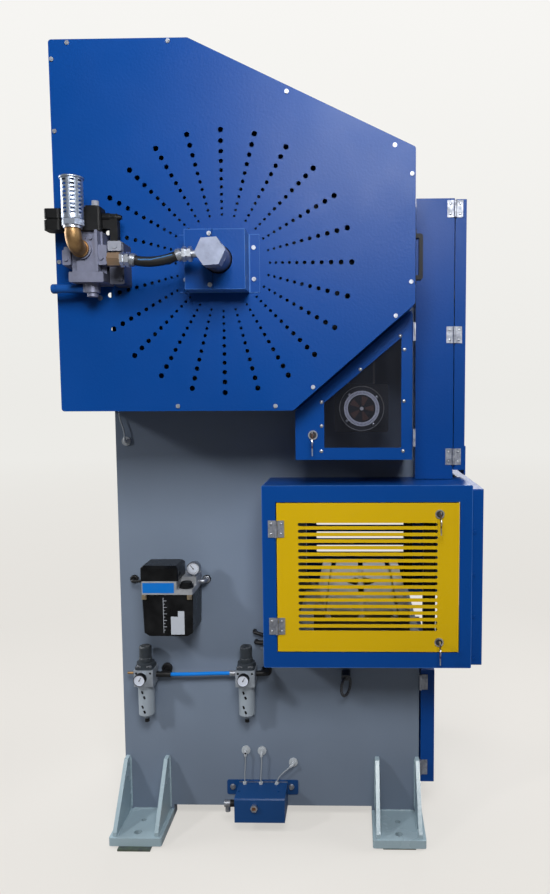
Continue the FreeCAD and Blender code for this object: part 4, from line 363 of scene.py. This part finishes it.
def printedFace(x, z, radius, count, ground, ink, inner, outer, wide=0.2):
    # printed scale: strokes at equal angles between two shares of the radius
    def make(f):
        away = f.farFrom(x, z)
        stroke = (f.turnAbout(x, z, count) < wide) * (away > inner * radius) * (away < outer * radius)
        backing = f.blend(f.noise(80.0, 3.0) * 0.12, ground, tone(90, 92, 96))
        return f.surface(baseColor=f.blend(stroke, backing, ink), roughness=0.3 + 0.1 * f.noise(60.0))
    return make


def ribbed(x, y, count, colour, depth=0.0006):
    # moulded grip: ribs at equal angles about an upright axis, with painted shade darkening the grooves
    # between them
    def make(f):
        angle = f.reckon("ARCTAN2", f.x - x / 1000, f.y - y / 1000)
        wave = f.reckon("SINE", angle * count)
        # painted shade: where the wave is low, in the grooves, the grip goes nearly black
        base = f.blend(f.fade(wave, -1.0, 0.2), tone(16, 18, 20), colour)
        return f.surface(baseColor=base, roughness=0.42 + 0.12 * f.noise(60.0), normal=f.bump(wave, depth))
    return make


def feetOf(f):
    # the feet stand outside the plates, below the gusset tops
    return (abs(f.y) > 0.2705) * (f.z < 0.2165)


greyPaint = lambda f: paintCoat(f, *greyCoat, rough=0.42, peel=0.00012, sheen=0.3)
footPaint = lambda f: paintCoat(f, *footCoat, rough=0.26, peel=0.0005, sheen=0.5)
yellowPaint = lambda f: paintCoat(f, *yellowCoat, rough=0.40, peel=0.00008, sheen=0.2, dirt=0.03)
blackPlastic = lambda f: mouldedPlastic(f, tone(12, 13, 15))
greyCast = lambda f: castAlloy(f, tone(172, 181, 192))
paleBowl = lambda f: mouldedPlastic(f, tone(152, 162, 172), 0.36)
hingeZinc = lambda f: plating(f, tone(168, 172, 182), 0.46)
hexBrass = lambda f: groundSteel(f, tone(206, 172, 140))
blueStub = lambda f: paintCoat(f, tone(24, 78, 150), tone(14, 60, 124))
whiteFace = tone(204, 210, 222)
blackInk = tone(30, 32, 36)

# hinges stand proud of the sheet that carries them: a plane just off it parts them from the paint
frontHinges = (lambda f: (f.x > 0.4731) * (f.z > 0.14), hingeZinc)
windowHinges = (lambda f: f.x > 0.42805, hingeZinc)
cabinetHinges = (lambda f: f.y < -0.3322, hingeZinc)
lowerHinges = (lambda f: f.y < -0.2702, hingeZinc)
dieHinges = (lambda f: f.y < -0.4702, hingeZinc)

for name in ("side_plate_left", "side_plate_right"):
    dress(name, mixed(greyPaint, (feetOf, footPaint), frontHinges))
for name in ("bed_plate", "rear_crown_plates"):
    dress(name, greyPaint)
dress("foot_shims", lambda f: plating(f, tone(128, 140, 122), 0.4))
for name in ("slide_gibs", "crank_pin", "crankshaft", "dial_chain"):
    dress(name, groundSteel)
dress("bolster", lambda f: groundSteel(f, tone(104, 106, 104)))
dress("slide", mixed(greyPaint, (lambda f: f.z < 1.078, groundSteel)))
for name in ("con_rod", "main_gear", "pinion_shaft", "flywheel", "clutch_unit", "motor_pulley"):
    dress(name, castIron)
dress("v_belts", softRubber)
dress("motor", lambda f: paintCoat(f, tone(86, 96, 112), tone(76, 84, 98), rough=0.45))
for name in ("flywheel_guard", "guard_face"):
    dress(name, bluePaint)
for name in ("window_housing", "window_door"):
    dress(name, mixed(bluePaint, windowHinges))
for name in ("front_cabinet", "cabinet_door"):
    dress(name, mixed(bluePaint, cabinetHinges))
dress("lower_front_door", mixed(bluePaint, lowerHinges))
# painted highlight: lighter lines along the outline of the die guard's front, where its folded edges would
# catch the light
boxEdgeHighlights = lambda f: f.edgesOf((4, 587), (604, 1119), 1.3) * (f.y < -0.468)
dress("die_guard_left", mixed(lambda f: bluePaint(f, boxEdgeHighlights), dieHinges))
for name in ("die_guard_right", "die_guard_front"):
    dress(name, bluePaint)
dress("die_door_left", mixed(yellowPaint, dieHinges))
dress("guard_screws", mixed(
    lambda f: plating(f, tone(178, 182, 192), 0.44), (lambda f: f.x > 0.6, bluePaint)))
# painted highlight: lighter lines along the outline of the covers over the union and along two upright edges,
# where they would catch the light
coverEdgeHighlights = lambda f: f.edgesOf((-154, 1641), (-2, 1789), 1.2) | (
    (abs(f.x - 0.0005) < 0.0012) | (abs(f.x - 0.0265) < 0.0012)) * (f.y > -0.604)
dress("union_covers", lambda f: bluePaint(f, coverEdgeHighlights))
dress("rotary_union", mixed(lambda f: castAlloy(f, tone(138, 146, 168)), (
    lambda f: f.y > -0.729, lambda f: groundSteel(f, tone(186, 170, 168), (1.0, 0.06, 1.0)))))
dress("valve_body", lambda f: castAlloy(f, tone(124, 128, 150)))
dress("valve_pilot", mixed(
    blackPlastic,
    (lambda f: (f.z < 1.7605) * (f.x > -0.3452), lambda f: castAlloy(f, tone(78, 82, 98))),
    (boxes(((-392, -655, 1851.2), (-372, -625, 1866)), ((-345, -676, 1736), (-309, -660.2, 1761))),
     lambda f: mouldedPlastic(f, tone(136, 140, 152)))))
dress("valve_silencer", lambda f: plating(f, tone(180, 192, 210), 0.3))
dress("pipe_fittings", mixed(
    lambda f: plating(f, tone(206, 212, 222), 0.26),
    (boxes(((-446, -740, 1712), (-386, -655, 1783))), brassMetal),
    (boxes(((-327.5, -736, 1688), (-296.5, -655, 1724))), hexBrass),
    (boxes(((-501, -658, 1634), (-415, -626, 1662))), blueStub)))
# a coloured stripe that climbs along the near side of the hose
hoseStripe = lambda f: (abs(f.z - f.fade(f.x, -0.22, -0.155, 1.7035, 1.7175)) < 0.0016) * (f.y < -0.7255) * (
    f.x > -0.252) * (f.x < -0.168)
dress("union_hose", mixed(softRubber, (hoseStripe, lambda f: mouldedPlastic(f, tone(52, 96, 142)))))
dress("guard_handle", blackPlastic)
dress("window_pane", lambda f: clearSheet(f, tone(226, 227, 231), 0.06))
keyTag = lambda f: mouldedPlastic(f, tone(84, 58, 44))
barrelFace = lambda f: castIron(f, tone(60, 54, 54))
for name, x, y, z in (("window_lock", 156, -530, 1266), ("door_lock_upper", 511, -470, 1037),
                      ("door_lock_lower", 511, -470, 664)):
    dress(name, mixed(
        lambda f: plating(f, tone(214, 216, 222), 0.26),
        (lambda f: f.round(1, (x, z), 9.5) * (abs(f.y - (y - 2) / 1000) < 0.0016), barrelFace),
        (boxes(((x - 14, y - 41, z - 34), (x + 14, y - 24, z + 6))), keyTag)))

dial = dict(
    centre=(290, 1337), front=-0.4702,                      # axis x and z in millimetres, plane y in metres
    rim=(61.0, 63.6), ring=49.7, scale=49.5, opening=38.8,  # radii, millimetres
    strokes=72, sectors=5, sectorRadii=(9, 34), hub=5,
)


def dialRim(f):
    # bright rim of the drum: between two radii about the dial's axis
    away = f.farFrom(*dial["centre"])
    return (away > dial["rim"][0]) * (away < dial["rim"][1])


dress("dial_housing", mixed(
    lambda f: mouldedPlastic(f, tone(30, 30, 34)),
    (dialRim, groundSteel),
    (discAt(dial["centre"], dial["ring"], dial["front"]),
     printedFace(*dial["centre"], dial["scale"], dial["strokes"], tone(232, 234, 250), tone(60, 70, 100),
                 0.84, 0.95, 0.35)),
    (discAt(dial["centre"], dial["opening"], dial["front"]), lambda f: mouldedPlastic(f, tone(34, 30, 34)))))


def crankDisc(f):
    # turning disc behind the scale: dark and warm sectors, a bright hub
    away = f.farFrom(*dial["centre"])
    inner, outer = dial["sectorRadii"]
    sector = f.turnAbout(*dial["centre"], dial["sectors"]) < 0.45
    face = f.blend(sector * (away > inner) * (away < outer), tone(26, 25, 28), tone(92, 62, 50))
    face = f.blend(away < dial["hub"], face, tone(226, 228, 232))
    return f.surface(baseColor=face, metallic=0.3, roughness=0.3 + 0.1 * f.noise(60.0))


dress("dial_pointer", crankDisc)
dress("light_curtains", blackPlastic)

levelMarks = dict(
    x=-307, low=662, high=770, near=-393, back=-391, halfLine=0.6, stroke=1.3,  # millimetres
    strokes=((5, 10), (10, 20)),                                                # length, spacing
)


def levelScale(f):
    # thin upright line, short strokes every 10 mm and longer ones every 20 mm
    x, low, high, near, back = (levelMarks[k] for k in ("x", "low", "high", "near", "back"))
    found = f.within((x - levelMarks["halfLine"], near, low), (x + levelMarks["halfLine"], back, high))
    for length, spacing in levelMarks["strokes"]:
        stroke = f.reckon("FRACT", f.z * (1000 / spacing)) < levelMarks["stroke"] / spacing
        found = found | f.within((x, near, low), (x + length, back, high)) * stroke
    return found


palePrint = lambda f: mouldedPlastic(f, tone(176, 182, 192))
dress("pump_housing", mixed(
    lambda f: mouldedPlastic(f, tone(9, 10, 12), 0.2),
    (levelScale, palePrint),
    (boxes(((-285, -393, 657), (-244, -391, 712)), ((-263, -393, 712), (-244, -391, 729))), palePrint)))
pumpGauge = dict(centre=(-226, 847), rim=20.2, rimFront=-0.323, face=17.8, faceFront=-0.3405, strokes=40)
dress("pump_head", mixed(
    lambda f: castAlloy(f, tone(176, 179, 184)),
    (boxes(((-367, -400, 786), (-272, -397.5, 817))), lambda f: mouldedPlastic(f, tone(8, 106, 190), 0.3)),
    (boxes(((-372, -403, 760), (-354, -391, 781)), ((-235, -403, 760), (-217, -391, 781))),
     lambda f: plating(f, tone(196, 176, 138))),
    (discAt(pumpGauge["centre"], pumpGauge["rim"], pumpGauge["rimFront"]),
     lambda f: plating(f, tone(160, 164, 172), 0.2)),
    (discAt(pumpGauge["centre"], pumpGauge["face"], pumpGauge["faceFront"]),
     printedFace(*pumpGauge["centre"], 18, pumpGauge["strokes"], whiteFace, blackInk, 0.72, 0.94))))
dress("filler_cap", blackPlastic)
for name in ("pump_needle", "needle_rear", "needle_front"):
    dress(name, lambda f: mouldedPlastic(f, tone(40, 36, 40)))

regulators = dict(   # millimetres
    x=(-391, -73), axis=-308, gauge=507,         # both upright axes, and the height of the gauges
    rim=18.3, face=16.2,                         # radii of a gauge
    ports=(-22, 22), port=3.6, portHeight=513,   # off the axis, half width, height
    bowlGuard=(20.5, 24.8), ribs=36,             # two radii, and how many ribs a knob has
)


def gaugeDiscs(reach, low, high):
    # mask of both gauges: nearer their axes than the reach, between two planes y in metres
    def mask(f):
        first, second = (f.farFrom(x, regulators["gauge"]) < reach for x in regulators["x"])
        return (first | second) * (f.y > low) * (f.y < high)
    return mask


def bowlGuards(f):
    # walls round both bowls: between two radii about each upright axis, above the drain
    inner, outer = regulators["bowlGuard"]
    centres = [(x, regulators["axis"]) for x in regulators["x"]]
    first, second = (f.round(2, at, outer) * (1 - f.round(2, at, inner)) for at in centres)
    return (first | second) * (f.z > 0.375)


half, level = regulators["port"], regulators["portHeight"]
portHoles = [((x + off - half, -337.9, level - half), (x + off + half, -331, level + half))
             for x in regulators["x"] for off in regulators["ports"]]
dress("regulator_bodies", mixed(
    greyCast,
    (lambda f: (f.z > 0.5221) * (f.z < 0.5305) | (f.z > 0.5305) * (f.y < -0.2),
     lambda f: mouldedPlastic(f, tone(52, 58, 64))),
    (lambda f: (f.z > 0.5302) * (f.z < 0.5345) * (abs(f.y + 0.329) < 0.0045), plating),
    (gaugeDiscs(regulators["rim"], -0.3805, -0.3615), blackPlastic),
    (gaugeDiscs(regulators["face"], -0.3805, -0.372), lambda f: mouldedPlastic(f, whiteFace, 0.3)),
    (boxes(*portHoles), blackPlastic)))
dress("filter_bowls", mixed(paleBowl, (lambda f: f.z < 0.3565, blackPlastic), (bowlGuards, blackPlastic)))
for name, x in zip(("knob_rear", "knob_front"), regulators["x"]):
    dress(name, ribbed(x, regulators["axis"], regulators["ribs"], tone(58, 66, 74)))
oilPaint = lambda f: paintCoat(f, tone(16, 68, 126), tone(10, 58, 110), rough=0.3, sheen=0.3)
dress("oil_box", mixed(
    oilPaint,
    (lambda f: (f.y > -0.2805) * (f.y < -0.2732) * (f.z > 0.095), plating),
    (boxes(((-58, -386, 88), (-31, -374.2, 114))), plating),
    (boxes(((-50.5, -384, 96), (-39, -379, 107))), lambda f: mouldedPlastic(f, tone(120, 84, 60))),
    (boxes(((-146, -345, 61), (-107.3, -315, 99))), plating),
    (boxes(((-127, -345, 76), (-107.3, -315, 99))), blackPlastic)))
dress("tube_fittings", mixed(
    lambda f: mouldedPlastic(f, tone(176, 182, 188)),
    (boxes(((-362, -310, 480), (-312, -269, 525)), ((-44, -310, 475), (6, -269, 520)),
           ((-434, -310, 485), (-420, -280, 512)), ((-62, -306, 585), (4.5, -269, 640)),
           ((-446, -310, 780), (-369.5, -269, 812)), ((-216, -278, 780), (-180, -269, 812))), softRubber),
    (boxes(((-455, -305, 490), (-433, -285, 506))), brassMetal),
    (boxes(((-128, -310, 485), (-102.5, -285, 510)), ((-217, -310, 786), (-189, -278.1, 806))), plating),
    (boxes(((200, -345, 420), (280, -269, 503))), lambda f: castIron(f, tone(96, 98, 104))),
    (discAt((-84, 233), 4.6, -0.29), blackPlastic)))
print("finishes on")

tubing = dict(airRadius=0.006, drainRadius=0.002, roundness=5, order=3, steps=16)   # radii in metres
airRoute = [(-315, -296, 494), (-275.52, -296, 494), (-221, -297, 496),
            (-166.48, -296, 498), (-127, -296, 498)]
drainRoutes = dict(
    oilTubeLeft=[(-84, -288, 221), (-84, -288, 191), (-87, -288, 162), (-87, -288, 134)],
    oilTubeMiddle=[(-32, -288, 219), (-32, -288, 189), (-35, -288, 162), (-35, -288, 134)],
    oilTubeRight=[(60, -288, 185), (48, -288, 174), (32, -288, 161), (21, -288, 147.5), (17, -288, 134)],
    oilTubeUpper=[(-443, -288, 1246), (-443, -288, 1268), (-458, -288, 1306), (-458, -288, 1331)],
)


def layTube(name, route, radius, make, node=None):
    # one smooth NURBS line through the route's control points, a round tube about it
    curve = bpy.data.curves.new(name, "CURVE")
    curve.dimensions = "3D"
    curve.bevel_depth = radius
    curve.bevel_resolution = tubing["roundness"]
    curve.use_fill_caps = True
    line = curve.splines.new("NURBS")
    line.points.add(len(route) - 1)
    places = [(x / 1000, y / 1000, z / 1000, 1) for x, y, z in route]
    line.points.foreach_set("co", np.array(places).ravel())
    line.order_u = tubing["order"]
    line.use_endpoint_u = True
    line.resolution_u = tubing["steps"]
    tube = bpy.data.objects.new(name, curve)
    scene.collection.objects.link(tube)
    f = Finish(name + "Finish")
    curve.materials.append(f.close(make(f)))
    if node:
        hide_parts(node)
    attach(tube, "frame")


blueTube = lambda f: mouldedPlastic(f, tone(18, 122, 214), 0.24, 0.00004)
milkyTube = lambda f: mouldedPlastic(f, tone(150, 157, 164), 0.3, 0.00004)
layTube("airTube", airRoute, tubing["airRadius"], blueTube, "air_tube")
for name, route in drainRoutes.items():
    layTube(name, route, tubing["drainRadius"], milkyTube, "oil_tubes" if name == "oilTubeLeft" else None)
print("tubes laid")


def meshPiece(name, points, faces, make, body="frame"):
    # a smooth mesh piece that rides a body, from arrays of points in millimetres and a list of faces
    mesh = bpy.data.meshes.new(name)
    mesh.from_pydata((np.concatenate(points) / 1000).tolist(), [], faces)
    mesh.polygons.foreach_set("use_smooth", np.full(len(mesh.polygons), True))
    piece = bpy.data.objects.new(name, mesh)
    scene.collection.objects.link(piece)
    f = Finish(name + "Finish")
    mesh.materials.append(f.close(make(f)))
    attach(piece, body)


def gridFaces(rows, columns, start):
    # quads between neighbouring rings of a rows by columns grid, the last column joined to the first
    row, column = np.meshgrid(np.arange(rows - 1), np.arange(columns), indexing="ij")
    after = (column + 1) % columns
    quads = np.stack((row * columns + column, row * columns + after,
                      (row + 1) * columns + after, (row + 1) * columns + column), axis=-1)
    return quads.reshape(-1, 4) + start


weldPaint = lambda f: paintCoat(f, *footCoat, rough=0.22, peel=0.0002, sheen=0.5)
welds = dict(
    radius=3.2, pitch=5.0, step=1.7, sides=8,                          # of a bead, millimetres
    plate=270, foot=403, footHalf=55, footTop=31,                      # where the seams run
    web=64, flank=6, gussetTop=213, gussetBack=146,
)


def weldSeams():
    # straight seams of both side plates, mm: along each gusset's two flanks, on the foot and on the plate
    plate, level, across = welds["plate"], welds["footTop"], welds["footHalf"]
    seams = []
    for side in (-1, 1):
        for foot in (-welds["foot"], welds["foot"]):
            for web in (-welds["web"], welds["web"]):
                for flank in (-welds["flank"], welds["flank"]):
                    x = foot + web + flank
                    back = side * (plate + welds["gussetBack"])
                    seams.append(((x, side * (plate + 1), level), (x, back, level)))
                    seams.append(((x, side * plate, level + 3), (x, side * plate, welds["gussetTop"] - 2)))
            seams.append(((foot - across, side * plate, level), (foot + across, side * plate, level)))
    return np.array(seams, float)


def weldBeads():
    # each bead is a thin tube whose radius swells once a pitch and wanders a little along the seam
    random = np.random.default_rng(7)
    points, faces, count = [], [], 0
    turn = np.linspace(0, 2 * pi, welds["sides"], endpoint=False)
    for start, end in weldSeams():
        length = np.linalg.norm(end - start)
        rows = int(length / welds["step"]) + 1
        share = np.linspace(0, 1, rows)
        along = (end - start) / length
        first = np.cross(along, (0.0, 0.0, 1.0) if abs(along[2]) < 0.9 else (1.0, 0.0, 0.0))
        second = np.cross(along, first)
        swell = 0.14 * np.sin(share * length * 2 * pi / welds["pitch"]) + 0.10 * random.standard_normal(rows)
        radius = welds["radius"] * (1 + swell) * np.minimum(1, 12 * np.minimum(share, 1 - share) + 0.3)
        drift = 0.5 * np.sin(share * length / 17 + random.uniform(0, 6))
        centre = start + share[:, None] * (end - start) + drift[:, None] * first
        ring = np.cos(turn)[:, None] * first + np.sin(turn)[:, None] * second
        points.append((centre[:, None, :] + radius[:, None, None] * ring).reshape(-1, 3))
        faces += gridFaces(rows, welds["sides"], count).tolist()
        count += rows * welds["sides"]
    meshPiece("weldBeads", points, faces, weldPaint)


brightScrew = lambda f: plating(f, tone(214, 217, 222), 0.24)
heads = dict(columns=12, profile=[(1.0, 0.0), (1.0, 0.18), (0.86, 0.42), (0.5, 0.58), (0.16, 0.62)])


def screwHeads(name, places, body="frame"):
    # low domed heads that face the photographed side: rings of the profile about each place (x, y, z, radius)
    turn = np.linspace(0, 2 * pi, heads["columns"], endpoint=False)
    profile = np.array(heads["profile"])
    points, faces, count = [], [], 0
    rows, columns = len(profile), heads["columns"]
    for x, y, z, radius in places:
        across = x + radius * profile[:, :1] * np.cos(turn)
        up = z + radius * profile[:, :1] * np.sin(turn)
        out = y - radius * profile[:, 1:] + 0 * turn
        points.append(np.stack((across, out, up), axis=-1).reshape(-1, 3))
        faces += gridFaces(rows, columns, count).tolist()
        faces.append(list(range(count + (rows - 1) * columns, count + rows * columns)))
        count += rows * columns
    meshPiece(name, points, faces, brightScrew, body)


screws = dict(   # plane y, radius, places (x, z)
    window=(-530, 5.2, [(180, 1356), (180, 1291), (179, 1222), (402, 1222),
                        (404, 1358), (405, 1497), (394, 1533), (286, 1444)]),
    dial=(-470, 4.2, [(256, 1376), (332, 1369), (248, 1302), (323, 1293)]),
)
leaves = dict(   # axis x, plane y, lower ends; then where a leaf's screws are
    cabinet=(566.25, -334.5, (1164, 1527, 1892)),
    die=(44.75, -472.5, (686, 970)),
    out=14, rises=(10, 39), radius=3.4,
)


def faceScrews(piece):
    # the screws of a piece's front, all of one size
    y, radius, places = screws[piece]
    return [(x, y, z, radius) for x, z in places]


def leafScrews(hinges, side):
    # two screws on one leaf of each hinge; side is -1 for the leaf towards -X, 1 for the other
    x, y, lows = leaves[hinges]
    x += side * leaves["out"]
    return [(x, y, low + rise, leaves["radius"]) for low in lows for rise in leaves["rises"]]


screwHeads("windowScrews", faceScrews("window"), "window_door")
screwHeads("dialScrews", faceScrews("dial"))
screwHeads("cabinetHingeScrews", leafScrews("cabinet", -1))
screwHeads("cabinetDoorScrews", leafScrews("cabinet", 1), "cabinet_door")
screwHeads("dieHingeScrews", leafScrews("die", -1))
screwHeads("dieDoorScrews", leafScrews("die", 1), "die_door")
weldBeads()
print("trim on")

studio = dict(
    near=(228, 225, 220), far=(236, 235, 231), top=(247, 246, 243),
    lamps=[
        # name, place, aimed at, size (metres), watts
        ("keySoftbox", (0.37, -2.6, 2.82), (0.1, -0.6, 2.0), 1.1, 80),
        ("sideSoftbox", (3.5, 0.5, 2.2), (0.3, 0.0, 1.1), 2.2, 90),
        ("rearSoftbox", (-3.5, 0.5, 2.2), (-0.3, 0.0, 1.1), 2.2, 90),
        ("backSoftbox", (0.4, 3.6, 3.2), (0.0, 0.0, 1.1), 2.6, 120),
    ],
    # name, place, aimed at, radius (metres), watts, cone (degrees)
    spot=("lowSpot", (-2.2, -2.0, 2.2), (-0.2, -0.3, 0.4), 0.16, 130, 40),
    sky=0.12, mirrored=0.1, horizon=(0.0, 0.47),
    half=60.0, pale=(1.5, 14.0), shadow=(0.7, 2.4),   # of the ground: half width, and where its tones change
)


def groundPaint():
    # pale ground: lit near the object, where its shadow lies, and evenly pale further off
    f = Finish("groundPaint")
    away = (f.x * f.x + f.y * f.y) ** 0.5
    cloud = f.noise(0.6, 3.0)
    seen = f.blend(f.fade(away + cloud - 0.5, *studio["pale"]), tone(*studio["near"]), tone(*studio["far"]))
    camera, bounced, glossy, passing = (f.add("ShaderNodeLightPath", out=k) for k in (0, 2, 3, 6))
    dull = f.blend(bounced * 0.7 | glossy * 0.9, seen, tone(90, 90, 90))
    soft = f.surface(baseColor=dull, roughness=0.9, specularIorLevel=0.1)
    glow = f.add("ShaderNodeEmission", {}, {"Color": seen, "Strength": 1.0})
    lit = (camera | glossy * 0.25 | passing) * f.fade(away, *studio["shadow"], 0.7, 1.0)
    return f.close(f.over(lit, soft, glow))


def skyLight():
    # pale sky: its camera colour climbs from the ground's far tone to the top tone, and it lights softly
    f = Finish("studioSky", world=True)
    seen = f.blend(f.fade(f.z, *studio["horizon"]), tone(*studio["far"]), tone(*studio["top"]))
    camera, glossy, passing = (f.add("ShaderNodeLightPath", out=k) for k in (0, 3, 6))
    strength = studio["sky"] + (1 - studio["sky"]) * camera + studio["mirrored"] * (glossy | passing)
    return f.close(f.add("ShaderNodeBackground", {}, {"Color": seen, "Strength": strength}))


def hangLamp(name, kind, place, aim, watts):
    # a lamp at its place, its -Z axis turned to what it is aimed at
    lamp = bpy.data.lights.new(name, kind)
    lamp.energy = watts
    holder = bpy.data.objects.new(name, lamp)
    towards = Vector(aim) - Vector(place)
    holder.matrix_world = Matrix.Translation(place) @ towards.to_track_quat("-Z", "Y").to_matrix().to_4x4()
    scene.collection.objects.link(holder)
    return holder


def makeStage():
    # a wide square on the ground, four soft boxes that no camera sees, one low spot, and the sky
    half = studio["half"]
    ground = bpy.data.meshes.new("ground")
    corners = [(-half, -half, 0), (half, -half, 0), (half, half, 0), (-half, half, 0)]
    ground.from_pydata(corners, [], [(0, 1, 2, 3)])
    ground.materials.append(groundPaint())
    floor = bpy.data.objects.new("ground", ground)
    scene.collection.objects.link(floor)
    for name, place, aim, wide, watts in studio["lamps"]:
        holder = hangLamp(name, "AREA", place, aim, watts)
        holder.data.shape = "SQUARE"
        holder.data.size = wide
        holder.visible_camera = False
    name, place, aim, radius, watts, cone = studio["spot"]
    spot = hangLamp(name, "SPOT", place, aim, watts).data
    spot.shadow_soft_size = radius
    spot.spot_size = radians(cone)
    spot.spot_blend = 1.0
    scene.world = skyLight()


makeStage()
scene.view_settings.view_transform = "Standard"
print("stage lit")
